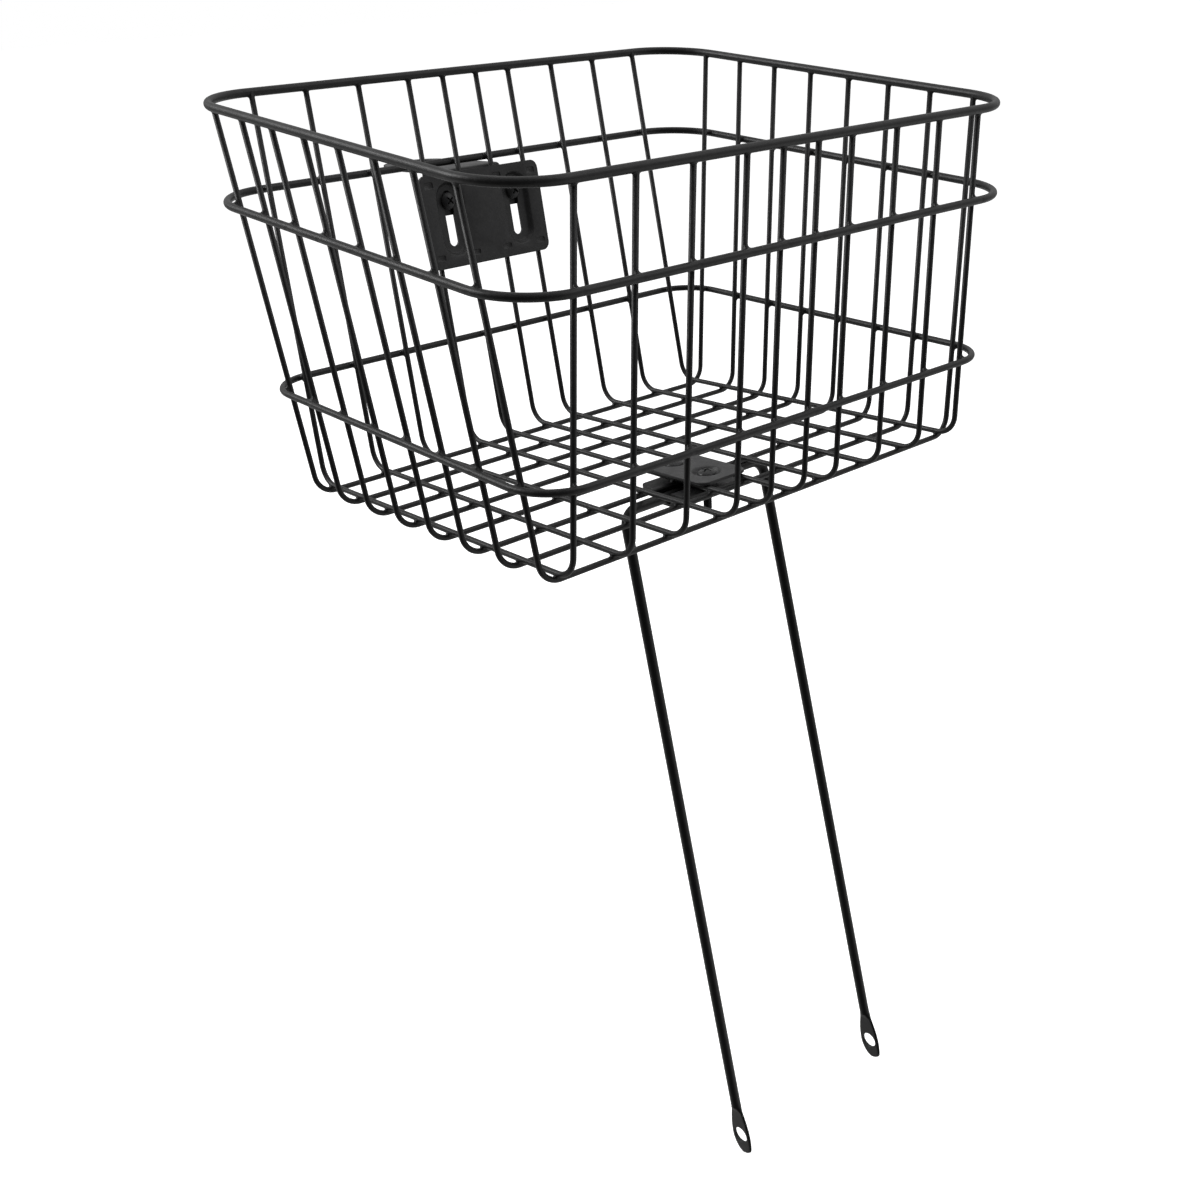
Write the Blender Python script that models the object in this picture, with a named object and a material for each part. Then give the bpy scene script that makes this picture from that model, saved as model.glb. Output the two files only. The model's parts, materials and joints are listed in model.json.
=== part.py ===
"""Wire handlebar basket with a slotted headset bracket and two swinging support legs.

Lengths are in metres. The basket is laid out with its lengthwise floor wires at z = 0,
X across the bicycle and -Y towards the front wheel. One empty then moves the whole
layout so that the world origin is the centre of the steerer hole, on the tongue's top face.
"""

import math

import bmesh
import bpy
from mathutils import Vector

MM = 0.001

# Wire, rod and sheet sizes
GAP = 0.3 * MM
MESH_WIRE_R = 1.55 * MM
RIM_WIRE_R = 2.3 * MM
MIDDLE_RING_R = 2.1 * MM
LOWER_RING_R = 1.9 * MM
LEG_ROD_R = 3.0 * MM
SHEET = 1.8 * MM
BRACKET_SHEET = 2.8 * MM

# Basket envelope, measured to the wire centres
RIM_HALF_X = 175 * MM
RIM_HALF_Y = 136.5 * MM
RIM_HEIGHT = 196 * MM
RIM_SLOPE = 0.12
FLOOR_HALF_X = 154.5 * MM
FLOOR_FRONT = 123.7 * MM
FLOOR_BACK = 109.7 * MM
RIM_CORNER_R = 36 * MM
WIRE_BEND_R = 12 * MM
WIRE_END_DROP = RIM_WIRE_R + 2 * GAP
FLOOR_CORNER_INSET = 1.8 * MM
RIM_CORNER_INSET = 0.9 * MM

# Wire spacing: the lengthwise wires spread towards the floor, the cross wires shift forward
CENTRE_WIRE_X = 12 * MM
INNER_PITCH = 24 * MM
OUTER_PITCH = 33.5 * MM
FLOOR_SPREAD = 1.055
CROSS_PITCH = 30 * MM
CROSS_SHIFT = -4.4 * MM
CROSS_DROP = 2 * MESH_WIRE_R + GAP

# Rings outside the mesh wires: (height at mid-depth, rise towards the back, corner radius)
MIDDLE_RING = (148.5 * MM, 0.107, 34 * MM)
LOWER_RING = (53.2 * MM, 0.058, 26 * MM)

# Stem plate on the back wall, in heights up the wall
BACK_LEAN = math.atan2(RIM_HALF_Y - FLOOR_BACK, RIM_HEIGHT + RIM_SLOPE * RIM_HALF_Y)
STEM_PLATE_HALF_X = 44.0 * MM
STEM_PLATE_LOW = 103.8 * MM
STEM_PLATE_HIGH = 158.4 * MM
STEM_PLATE_CORNER_R = 5 * MM
RECESS_X = 24.3 * MM
RECESS_LOW = 110.3 * MM
RECESS_HIGH = 153.3 * MM
RECESS_R = 9.6 * MM
RECESS_FLOOR_R = 6.8 * MM
RECESS_FLOOR_Z = 0.5 * MM
PRESSED_SKIN = 0.4 * MM
SLOT_R = 3.2 * MM
SLOT_LOW = 116.0 * MM
SLOT_HIGH = 148.4 * MM

# Headset bracket behind the back wall, with a tongue that reaches towards the rider
STEM_SCREW_HEIGHT = 142.4 * MM
STEM_SCREW_R = 2.5 * MM
STEM_HOLE_R = 2.8 * MM
BRACKET_HALF_X = 34 * MM
BRACKET_LOW = 134.1 * MM
BRACKET_SHOULDER = 150 * MM
BRACKET_SHOULDER_RISE = 3 * MM
BRACKET_CORNER_R = 3 * MM
BRACKET_FACE = MESH_WIRE_R + GAP
BRACKET_BEND_R = 2.2 * MM
TONGUE_HALF_X = 20.5 * MM
TONGUE_TOP_Z = 158.3 * MM
STEERER_Y = 195 * MM
STEERER_HOLE_R = 14.5 * MM
STEM_SCREW_HEAD = (5.0 * MM, 3.2 * MM)
STEM_WASHER_R = 5.0 * MM
STEM_WASHER_H = 1.0 * MM
STEM_NUT_FLATS = 8.0 * MM
STEM_NUT_H = 4.0 * MM
STEM_SCREW_PROUD = 1.5 * MM

# Leg clamp under the floor
CLAMP_Y = -49.6 * MM
CLAMP_SCREW_PITCH = 27 * MM
CLAMP_SCREW_R = 2.5 * MM
CLAMP_HOLE_R = 2.8 * MM
CLAMP_SCREW_HEAD = (5.2 * MM, 3.2 * MM)
CLAMP_SCREW_END_Z = -18.5 * MM
WELD_NUT_FLATS = 8.0 * MM
WELD_NUT_H = 3.2 * MM
TOP_PLATE_HALF_X = 17.5 * MM
TOP_PLATE_HALF_Y = 26 * MM
TOP_PLATE_Y = CLAMP_Y - 2.9 * MM
TOP_PLATE_BACK_Z = MESH_WIRE_R + GAP
TOP_PLATE_CORNER_R = 6 * MM
CUP_R = 8.6 * MM
CUP_FLOOR_R = 6.4 * MM
CUP_DEPTH = 2.6 * MM
SADDLE_HALF_X = 21.7 * MM
SADDLE_HALF_Y = 19.2 * MM
SADDLE_SHEET = 1.6 * MM
SADDLE_CORNER_R = 4.5 * MM

# Legs: each tuple is (arm y from the clamp's middle, knee x, eye x, tilt)
ARM_Z = -(CROSS_DROP + MESH_WIRE_R + GAP + LEG_ROD_R)
ARM_SPACING = 2 * LEG_ROD_R + 0.4 * MM
ARM_OVERRUN = 24 * MM
LEFT_LEG = (-ARM_SPACING / 2, 52.8 * MM, 55.9 * MM, math.radians(11.1))
RIGHT_LEG = (ARM_SPACING / 2, 61.0 * MM, 63.9 * MM, math.radians(12.3))
LEG_LENGTH = 397 * MM
LEG_BEND_R = 9 * MM
EYE_HALF_WIDTH = 7.5 * MM
EYE_HALF_SHEET = 0.95 * MM
EYE_TIP = 13 * MM
EYE_NECK = 20 * MM
EYE_SHOULDER = 26 * MM
EYE_HOLE_R = 5.0 * MM

SADDLE_TOP_Z = -(CROSS_DROP + MESH_WIRE_R + GAP)
CHANNEL_FLOOR_Z = ARM_Z - LEG_ROD_R - GAP
CHANNEL_HALF_Y = ARM_SPACING / 2 + LEG_ROD_R + GAP
CUTTER_REACH = 3 * MM

ARC_STEPS = 5
CIRCLE_STEPS = 24
EYE_TIP_STEPS = 7
ROD_SIDES = 16
WIRE_BEVEL_RESOLUTION = 2


def clear_scene():
    """Remove every object that the new file starts with."""
    for old in list(bpy.data.objects):
        bpy.data.objects.remove(old, do_unlink=True)


def coat(name, colour, roughness, metallic):
    """A Principled material with one colour."""
    material = bpy.data.materials.new(name)
    material.use_nodes = True
    shader = material.node_tree.nodes["Principled BSDF"]
    shader.inputs["Base Color"].default_value = (*colour, 1.0)
    shader.inputs["Roughness"].default_value = roughness
    shader.inputs["Metallic"].default_value = metallic
    return material


def add_empty(name, location, parent=None):
    """An empty that carries part of the layout."""
    empty = bpy.data.objects.new(name, None)
    empty.location = location
    empty.parent = parent
    bpy.context.collection.objects.link(empty)
    return empty


def add_object(name, data, material, parent, location=(0, 0, 0)):
    """Link mesh or curve data as a named node."""
    data.materials.append(material)
    node = bpy.data.objects.new(name, data)
    node.location = location
    node.parent = parent
    bpy.context.collection.objects.link(node)
    return node


def mesh_from(bm, name, smooth):
    """Turn a bmesh into mesh data with faces that point outwards."""
    bmesh.ops.recalc_face_normals(bm, faces=bm.faces[:])
    if bm.calc_volume(signed=True) < 0:
        bmesh.ops.reverse_faces(bm, faces=bm.faces[:])
    for face in bm.faces:
        face.smooth = smooth
    mesh = bpy.data.meshes.new(name)
    bm.to_mesh(mesh)
    bm.free()
    return mesh


# Paths and outlines


def fillet(before, corner, after, radius, steps):
    """Points on the arc that rounds one corner of a path."""
    into = (before - corner).normalized()
    out = (after - corner).normalized()
    half_angle = into.angle(out) / 2
    reach = radius / math.tan(half_angle)
    centre = corner + (into + out).normalized() * radius / math.sin(half_angle)
    start = corner + into * reach - centre
    end = corner + out * reach - centre
    turn = start.angle(end)
    arc = []
    for step in range(steps + 1):
        share = step / steps
        weight_start = math.sin((1 - share) * turn) / math.sin(turn)
        weight_end = math.sin(share * turn) / math.sin(turn)
        arc.append(centre + start * weight_start + end * weight_end)
    return arc


def rounded_path(corners, radius, closed, steps=ARC_STEPS):
    """A path through the corners with each inner corner rounded."""
    corners = [Vector(corner) for corner in corners]
    count = len(corners)
    points = []
    for index, corner in enumerate(corners):
        if not closed and index in (0, count - 1):
            points.append(corner)
            continue
        before = corners[index - 1]
        after = corners[(index + 1) % count]
        points.extend(fillet(before, corner, after, radius, steps))
    return points


def rounded_rectangle(half_x, low_y, high_y, radius):
    """Outline of a rectangle with rounded corners."""
    corners = [(half_x, high_y, 0), (-half_x, high_y, 0), (-half_x, low_y, 0), (half_x, low_y, 0)]
    return [(point.x, point.y) for point in rounded_path(corners, radius, True)]


def obround(x, low_y, high_y, radius):
    """Outline of a slot with round ends, or of a circle when its ends meet."""
    outline = []
    for step in range(CIRCLE_STEPS):
        angle = 2 * math.pi * (step + 0.5) / CIRCLE_STEPS
        end_y = high_y - radius if math.sin(angle) > 0 else low_y + radius
        outline.append((x + radius * math.cos(angle), end_y + radius * math.sin(angle)))
    return outline


def circle(x, y, radius):
    """Outline of a circle."""
    return obround(x, y - radius, y + radius, radius)


def rim_z(y):
    """Height of the sloping rim's centre line."""
    return RIM_HEIGHT + RIM_SLOPE * y


# Solid builders


def wire_node(name, points, radius, closed, material, parent):
    """A round wire along the points."""
    curve = bpy.data.curves.new(name, "CURVE")
    curve.dimensions = "3D"
    curve.bevel_depth = radius
    curve.bevel_resolution = WIRE_BEVEL_RESOLUTION
    curve.use_fill_caps = not closed
    spline = curve.splines.new("POLY")
    spline.points.add(len(points) - 1)
    for slot, point in zip(spline.points, points):
        slot.co = (*point, 1.0)
    spline.use_cyclic_u = closed
    return add_object(name, curve, material, parent)


def ring_of_verts(bm, outline, z):
    """One closed loop of vertices and its edges at height z."""
    verts = [bm.verts.new((x, y, z)) for x, y in outline]
    edges = [bm.edges.new((verts[i - 1], verts[i])) for i in range(len(verts))]
    return verts, edges


def bridge(bm, first, second):
    """Quads between two loops that have the same number of vertices."""
    for index in range(len(first)):
        bm.faces.new((first[index - 1], first[index], second[index], second[index - 1]))


def sheet_bmesh(outline, holes, low_z, high_z):
    """A flat sheet; each hole is a chain of (outline, z) from the top face to the bottom."""
    bm = bmesh.new()
    top, top_edges = ring_of_verts(bm, outline, high_z)
    bottom, bottom_edges = ring_of_verts(bm, outline, low_z)
    bridge(bm, top, bottom)
    for chain in holes:
        loops = [ring_of_verts(bm, loop, z) for loop, z in chain]
        for upper, lower in zip(loops, loops[1:]):
            bridge(bm, upper[0], lower[0])
        top_edges += loops[0][1]
        bottom_edges += loops[-1][1]
    bmesh.ops.triangle_fill(bm, use_beauty=True, edges=top_edges)
    bmesh.ops.triangle_fill(bm, use_beauty=True, edges=bottom_edges)
    return bm


def plain_hole(outline, low_z, high_z):
    """The chain of a hole that goes straight through a sheet."""
    return [(outline, high_z), (outline, low_z)]


def turned_bmesh(profile, sides):
    """A solid of revolution about Z from (radius, z) points, closed by flat ends."""
    bm = bmesh.new()
    angles = [2 * math.pi * step / sides for step in range(sides)]
    loops = []
    for radius, z in profile:
        outline = [(radius * math.cos(angle), radius * math.sin(angle)) for angle in angles]
        loops.append(ring_of_verts(bm, outline, z)[0])
    for upper, lower in zip(loops, loops[1:]):
        bridge(bm, upper, lower)
    bm.faces.new(loops[0])
    bm.faces.new(loops[-1])
    return bm


def cut(node, bm, name, parent):
    """Cut a solid out of a node with a Boolean."""
    cutter = bpy.data.objects.new(name, mesh_from(bm, name, False))
    cutter.parent = parent
    cutter.location = node.location
    cutter.rotation_euler = node.rotation_euler
    cutter.hide_render = True
    cutter.display_type = "WIRE"
    bpy.context.collection.objects.link(cutter)
    modifier = node.modifiers.new(name, "BOOLEAN")
    modifier.operation = "DIFFERENCE"
    modifier.solver = "EXACT"
    modifier.object = cutter


# The welded wire basket


def lengthwise_positions():
    """Rim positions of the ten wires that run from front to back."""
    right = [CENTRE_WIRE_X, CENTRE_WIRE_X + INNER_PITCH]
    right += [right[-1] + OUTER_PITCH * step for step in (1, 2, 3)]
    return [-x for x in reversed(right)] + right


def corner_insets(number, count):
    """How far the first and last wires of a set stand in, so that they follow the ring corners."""
    if number in (1, count):
        return FLOOR_CORNER_INSET, RIM_CORNER_INSET
    return 0, 0


def add_lengthwise_wires(material, parent):
    """Ten U-wires: down the front wall, along the floor and up the back wall."""
    positions = lengthwise_positions()
    for number, x in enumerate(positions, 1):
        floor_in, rim_in = corner_insets(number, len(positions))
        floor_x = x * FLOOR_SPREAD
        corners = [
            (x, -RIM_HALF_Y + rim_in, rim_z(-RIM_HALF_Y) - WIRE_END_DROP),
            (floor_x, -FLOOR_FRONT + floor_in, 0),
            (floor_x, FLOOR_BACK - floor_in, 0),
            (x, RIM_HALF_Y - rim_in, rim_z(RIM_HALF_Y) - WIRE_END_DROP),
        ]
        points = rounded_path(corners, WIRE_BEND_R, False)
        wire_node(f"lengthwise_wire_{number:02d}", points, MESH_WIRE_R, False, material, parent)


def add_cross_wires(material, parent):
    """Eight U-wires: down the left wall, under the lengthwise wires and up the right wall."""
    count = 8
    for number in range(1, count + 1):
        y = CROSS_PITCH * (number - (count + 1) / 2)
        floor_y = y + CROSS_SHIFT
        floor_in, rim_in = corner_insets(number, count)
        top_z = rim_z(y) - WIRE_END_DROP
        corners = [
            (-RIM_HALF_X + rim_in, y, top_z),
            (-FLOOR_HALF_X + floor_in, floor_y, -CROSS_DROP),
            (FLOOR_HALF_X - floor_in, floor_y, -CROSS_DROP),
            (RIM_HALF_X - rim_in, y, top_z),
        ]
        points = rounded_path(corners, WIRE_BEND_R, False)
        wire_node(f"cross_wire_{number}", points, MESH_WIRE_R, False, material, parent)


def add_rim(material, parent):
    """The thick top wire."""
    corners = [(x, y, rim_z(y)) for x, y in (
        (RIM_HALF_X, RIM_HALF_Y),
        (-RIM_HALF_X, RIM_HALF_Y),
        (-RIM_HALF_X, -RIM_HALF_Y),
        (RIM_HALF_X, -RIM_HALF_Y),
    )]
    points = rounded_path(corners, RIM_CORNER_R, True)
    wire_node("top_rim", points, RIM_WIRE_R, True, material, parent)


def ring_corner(height, rise, wire_r, floor_y, rim_y):
    """Corner of a ring that runs outside the wires of one wall, (half x, y, z)."""
    outward = math.copysign(MESH_WIRE_R + wire_r + 1.3 * GAP, rim_y)
    y = floor_y
    for _ in range(4):
        z = height + rise * y
        share = z / rim_z(rim_y)
        y = floor_y + (rim_y - floor_y) * share + outward
    half_x = FLOOR_HALF_X + (RIM_HALF_X - FLOOR_HALF_X) * share + abs(outward)
    return half_x, y, height + rise * y


def add_ring(name, ring, wire_r, material, parent):
    """A level of the basket's outer rings."""
    height, rise, corner_r = ring
    front_x, front_y, front_z = ring_corner(height, rise, wire_r, -FLOOR_FRONT, -RIM_HALF_Y)
    back_x, back_y, back_z = ring_corner(height, rise, wire_r, FLOOR_BACK, RIM_HALF_Y)
    corners = [
        (back_x, back_y, back_z),
        (-back_x, back_y, back_z),
        (-front_x, front_y, front_z),
        (front_x, front_y, front_z),
    ]
    points = rounded_path(corners, corner_r, True)
    wire_node(name, points, wire_r, True, material, parent)


# Stem plate and headset bracket


def recess_outline(x, radius):
    """Outline of a pressed recess at one level; its ends draw in with its radius."""
    shrink = RECESS_R - radius
    return obround(x, RECESS_LOW + shrink, RECESS_HIGH - shrink, radius)


def add_stem_plate(material, wall):
    """Sheet inside the back wall with two pressed recesses, each with a slot."""
    back = MESH_WIRE_R + GAP
    front = back + SHEET
    floor_back = RECESS_FLOOR_Z - SHEET
    holes = []
    for side in (-1, 1):
        x = side * RECESS_X
        slot = obround(x, SLOT_LOW, SLOT_HIGH, SLOT_R)
        holes.append([
            (recess_outline(x, RECESS_R), front),
            (recess_outline(x, RECESS_FLOOR_R), RECESS_FLOOR_Z),
            (slot, RECESS_FLOOR_Z),
            (slot, floor_back),
            (recess_outline(x, RECESS_FLOOR_R + PRESSED_SKIN), floor_back),
            (recess_outline(x, RECESS_R - PRESSED_SKIN), back),
        ])
    outline = rounded_rectangle(STEM_PLATE_HALF_X, STEM_PLATE_LOW, STEM_PLATE_HIGH, STEM_PLATE_CORNER_R)
    bm = sheet_bmesh(outline, holes, back, front)
    add_object("stem_plate", mesh_from(bm, "stem_plate", False), material, wall)


def bracket_position(x, length, depth):
    """Place a point of the bracket's flat pattern: up the wall, round the bend, along the tongue."""
    up = Vector((0, math.sin(BACK_LEAN), math.cos(BACK_LEAN)))
    rear = Vector((0, math.cos(BACK_LEAN), -math.sin(BACK_LEAN)))
    outer_r = BRACKET_BEND_R + BRACKET_SHEET
    bend_start, bend_end = bracket_bend()
    base = Vector((x, FLOOR_BACK, 0)) + rear * BRACKET_FACE
    if length <= bend_start:
        return base + up * length + rear * depth
    centre = base + up * bend_start + rear * outer_r
    turn = min(length - bend_start, bend_end - bend_start) / outer_r
    radial = up * math.sin(turn) - rear * math.cos(turn)
    along = up * math.cos(turn) + rear * math.sin(turn)
    return centre + radial * (outer_r - depth) + along * max(length - bend_end, 0)


def bracket_bend():
    """Where the bend starts and ends in the flat pattern, measured on the outer face."""
    outer_r = BRACKET_BEND_R + BRACKET_SHEET
    rise = TONGUE_TOP_Z - outer_r + (BRACKET_FACE + outer_r) * math.sin(BACK_LEAN)
    start = rise / math.cos(BACK_LEAN)
    return start, start + outer_r * (math.pi / 2 - BACK_LEAN)


def bracket_outline(tongue_length):
    """Flat pattern: a wide plate, two shoulders and a tongue with a round end."""
    corners = [
        (0, BRACKET_LOW, 0),
        (BRACKET_HALF_X, BRACKET_LOW, 0),
        (BRACKET_HALF_X, BRACKET_SHOULDER, 0),
        (TONGUE_HALF_X, BRACKET_SHOULDER + BRACKET_SHOULDER_RISE, 0),
        (TONGUE_HALF_X, tongue_length, 0),
    ]
    path = rounded_path(corners, BRACKET_CORNER_R, False)
    right = [(point.x, point.y) for point in path[1:-1]]
    tip = []
    for step in range(CIRCLE_STEPS // 2 + 1):
        angle = 2 * math.pi * step / CIRCLE_STEPS
        tip.append((TONGUE_HALF_X * math.cos(angle), tongue_length + TONGUE_HALF_X * math.sin(angle)))
    return right + tip + [(-x, y) for x, y in reversed(right)]


def add_headset_bracket(material, parent):
    """Thick sheet behind the wires, bent into a tongue with the steerer hole."""
    bend_start, bend_end = bracket_bend()
    bend_end_y = bracket_position(0, bend_end, 0).y
    hole_length = bend_end + STEERER_Y - bend_end_y
    holes = [plain_hole(circle(0, hole_length, STEERER_HOLE_R), 0, BRACKET_SHEET)]
    for side in (-1, 1):
        screw_hole = circle(side * RECESS_X, STEM_SCREW_HEIGHT, STEM_HOLE_R)
        holes.append(plain_hole(screw_hole, 0, BRACKET_SHEET))
    bm = sheet_bmesh(bracket_outline(hole_length), holes, 0, BRACKET_SHEET)
    for step in range(ARC_STEPS + 1):
        line = bend_start + (bend_end - bend_start) * step / ARC_STEPS
        geometry = bm.verts[:] + bm.edges[:] + bm.faces[:]
        bmesh.ops.bisect_plane(bm, geom=geometry, plane_co=(0, line, 0), plane_no=(0, 1, 0))
    for vert in bm.verts:
        vert.co = bracket_position(*vert.co)
    add_object("headset_bracket", mesh_from(bm, "headset_bracket", False), material, parent)


def screw_bmesh(head, shaft_r, shaft_length):
    """Pan-head screw along Z with the head's underside at z = 0; head is (radius, height)."""
    head_r, head_h = head
    profile = [
        (0.7 * head_r, head_h),
        (head_r, 0.45 * head_h),
        (head_r, 0),
        (shaft_r, 0),
        (shaft_r, -shaft_length),
    ]
    return turned_bmesh(profile, ROD_SIDES)


def nut_bmesh(across_flats, height, hole_r):
    """Hexagon nut along Z with its lower face at z = 0."""
    corner_r = across_flats / math.sqrt(3)
    outline = []
    for side in range(6):
        angle = math.pi * side / 3
        outline.append((corner_r * math.cos(angle), corner_r * math.sin(angle)))
    return sheet_bmesh(outline, [plain_hole(circle(0, 0, hole_r), 0, height)], 0, height)


def washer_bmesh(outer_r, hole_r, height):
    """Flat washer along Z with its lower face at z = 0."""
    hole = plain_hole(circle(0, 0, hole_r), 0, height)
    return sheet_bmesh(circle(0, 0, outer_r), [hole], 0, height)


def add_stem_fasteners(material, wall):
    """Two screws through the slots, with a washer and a nut behind the bracket."""
    head_z = RECESS_FLOOR_Z + GAP
    bracket_back = -(BRACKET_FACE + BRACKET_SHEET)
    washer_z = bracket_back - GAP - STEM_WASHER_H
    nut_z = washer_z - GAP - STEM_NUT_H
    shaft_length = head_z - nut_z + STEM_SCREW_PROUD
    for side, word in ((-1, "left"), (1, "right")):
        place = (side * RECESS_X, STEM_SCREW_HEIGHT)
        screw = screw_bmesh(STEM_SCREW_HEAD, STEM_SCREW_R, shaft_length)
        washer = washer_bmesh(STEM_WASHER_R, STEM_HOLE_R, STEM_WASHER_H)
        nut = nut_bmesh(STEM_NUT_FLATS, STEM_NUT_H, STEM_HOLE_R)
        for kind, bm, z in (("screw", screw, head_z), ("washer", washer, washer_z), ("nut", nut, nut_z)):
            name = f"stem_{kind}_{word}"
            add_object(name, mesh_from(bm, name, False), material, wall, (*place, z))


# Leg clamp and legs


def add_top_clamp_plate(material, parent):
    """Sheet on the floor wires with two pressed cups that hold the screw heads."""
    back = TOP_PLATE_BACK_Z
    front = back + SHEET
    holes = []
    for side in (-1, 1):
        y = CLAMP_Y - TOP_PLATE_Y + side * CLAMP_SCREW_PITCH / 2
        holes.append([
            (circle(0, y, CUP_R), front),
            (circle(0, y, CUP_FLOOR_R), front - CUP_DEPTH),
            (circle(0, y, CLAMP_HOLE_R), front - CUP_DEPTH),
            (circle(0, y, CLAMP_HOLE_R), back - CUP_DEPTH),
            (circle(0, y, CUP_FLOOR_R + PRESSED_SKIN), back - CUP_DEPTH),
            (circle(0, y, CUP_R - PRESSED_SKIN), back),
        ])
    outline = rounded_rectangle(TOP_PLATE_HALF_X, -TOP_PLATE_HALF_Y, TOP_PLATE_HALF_Y,
                                TOP_PLATE_CORNER_R)
    bm = sheet_bmesh(outline, holes, back, front)
    mesh = mesh_from(bm, "top_clamp_plate", False)
    add_object("top_clamp_plate", mesh, material, parent, (0, TOP_PLATE_Y, 0))


def saddle_section(x, half_y):
    """Section across the saddle at one x: two flanges and the channel between them."""
    top = SADDLE_TOP_Z
    floor = CHANNEL_FLOOR_Z
    inner = CHANNEL_HALF_Y
    outer = CHANNEL_HALF_Y + SADDLE_SHEET
    half = [
        (half_y, top), (inner, top), (inner, floor),
        (-inner, floor), (-inner, top), (-half_y, top),
    ]
    under = [
        (-half_y, top - SADDLE_SHEET), (-outer, top - SADDLE_SHEET), (-outer, floor - SADDLE_SHEET),
        (outer, floor - SADDLE_SHEET), (outer, top - SADDLE_SHEET), (half_y, top - SADDLE_SHEET),
    ]
    return [Vector((x, y, z)) for y, z in half + under]


def add_clamp_saddle(material, parent):
    """Pressed saddle under the floor: a channel for both leg arms between two screwed flanges."""
    end_steps = []
    for step in range(ARC_STEPS + 1):
        angle = math.pi / 2 * step / ARC_STEPS
        inset_x = SADDLE_CORNER_R * (1 - math.sin(angle))
        inset_y = SADDLE_CORNER_R * (1 - math.cos(angle))
        end_steps.append((SADDLE_HALF_X - inset_x, SADDLE_HALF_Y - inset_y))
    bm = bmesh.new()
    stations = [(-x, half_y) for x, half_y in reversed(end_steps)] + end_steps
    stations.sort()
    loops = [[bm.verts.new(point) for point in saddle_section(*place)] for place in stations]
    for first, second in zip(loops, loops[1:]):
        bridge(bm, first, second)
    bm.faces.new(loops[0])
    bm.faces.new(loops[-1])
    mesh = mesh_from(bm, "lower_clamp_saddle", False)
    saddle = add_object("lower_clamp_saddle", mesh, material, parent, (0, CLAMP_Y, 0))
    for side, word in ((-1, "front"), (1, "rear")):
        ring = circle(0, side * CLAMP_SCREW_PITCH / 2, CLAMP_HOLE_R)
        drill = sheet_bmesh(ring, [], SADDLE_TOP_Z - SADDLE_SHEET - CUTTER_REACH, 0)
        cut(saddle, drill, f"saddle_drill_{word}", parent)


def add_clamp_fasteners(material, parent):
    """Two screws through plate and saddle, and the weld nuts under the saddle's flanges."""
    head_z = TOP_PLATE_BACK_Z + SHEET - CUP_DEPTH + GAP
    nut_z = SADDLE_TOP_Z - SADDLE_SHEET - GAP - WELD_NUT_H
    for side, word in ((-1, "front"), (1, "rear")):
        y = CLAMP_Y + side * CLAMP_SCREW_PITCH / 2
        screw = screw_bmesh(CLAMP_SCREW_HEAD, CLAMP_SCREW_R, head_z - CLAMP_SCREW_END_Z)
        nut = nut_bmesh(WELD_NUT_FLATS, WELD_NUT_H, CLAMP_HOLE_R)
        for kind, bm, z in (("screw", screw, head_z), ("weld_nut", nut, nut_z)):
            name = f"clamp_{kind}_{word}"
            add_object(name, mesh_from(bm, name, False), material, parent, (0, y, z))


def section(centre, side, across, half_side, half_across, flatness):
    """Vertices of one rod section, round at flatness 0 and flat-faced at 1."""
    verts = []
    for step in range(ROD_SIDES):
        angle = 2 * math.pi * step / ROD_SIDES
        reach = max(-1.0, min(1.0, (1 + 0.6 * flatness) * math.cos(angle)))
        verts.append(centre + side * half_side * reach + across * half_across * math.sin(angle))
    return verts


def leg_sections(outward, knee_x, eye_x):
    """Sections from the arm's free end, round the bend and down to the flattened eye."""
    across = Vector((0, 1, 0))
    knee = Vector((outward * knee_x, 0, 0))
    foot = Vector((outward * eye_x, 0, -LEG_LENGTH))
    down = (foot - knee).normalized()
    start = Vector((-outward * ARM_OVERRUN, 0, 0))
    centre_line = [start] + fillet(start, knee, foot, LEG_BEND_R, ARC_STEPS)
    sections = []
    for index, point in enumerate(centre_line):
        after = centre_line[index + 1] if index + 1 < len(centre_line) else foot
        before = centre_line[index - 1] if index else start
        along = ((after - point).normalized() + (point - before).normalized()).normalized()
        side = across.cross(along) * outward
        sections.append(section(point, side, across, LEG_ROD_R, LEG_ROD_R, 0))
    side = across.cross(down) * outward
    eye = [
        (-EYE_SHOULDER - 4 * MM, LEG_ROD_R, LEG_ROD_R, 0),
        (-EYE_SHOULDER, 0.93 * LEG_ROD_R, 1.08 * LEG_ROD_R, 0.2),
        (-EYE_NECK, 1.5 * EYE_HALF_SHEET, 0.8 * EYE_HALF_WIDTH, 0.8),
        (-EYE_NECK + 5 * MM, EYE_HALF_SHEET, 0.93 * EYE_HALF_WIDTH, 1),
    ]
    for step in range(EYE_TIP_STEPS):
        share = step / (EYE_TIP_STEPS - 0.6)
        width = EYE_HALF_WIDTH * (1 - share ** 3) ** 0.5
        eye.append((share * EYE_TIP, EYE_HALF_SHEET, width, 1))
    for offset, half_side, half_across, flatness in eye:
        sections.append(section(foot + down * offset, side, across, half_side, half_across, flatness))
    return sections


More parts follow.
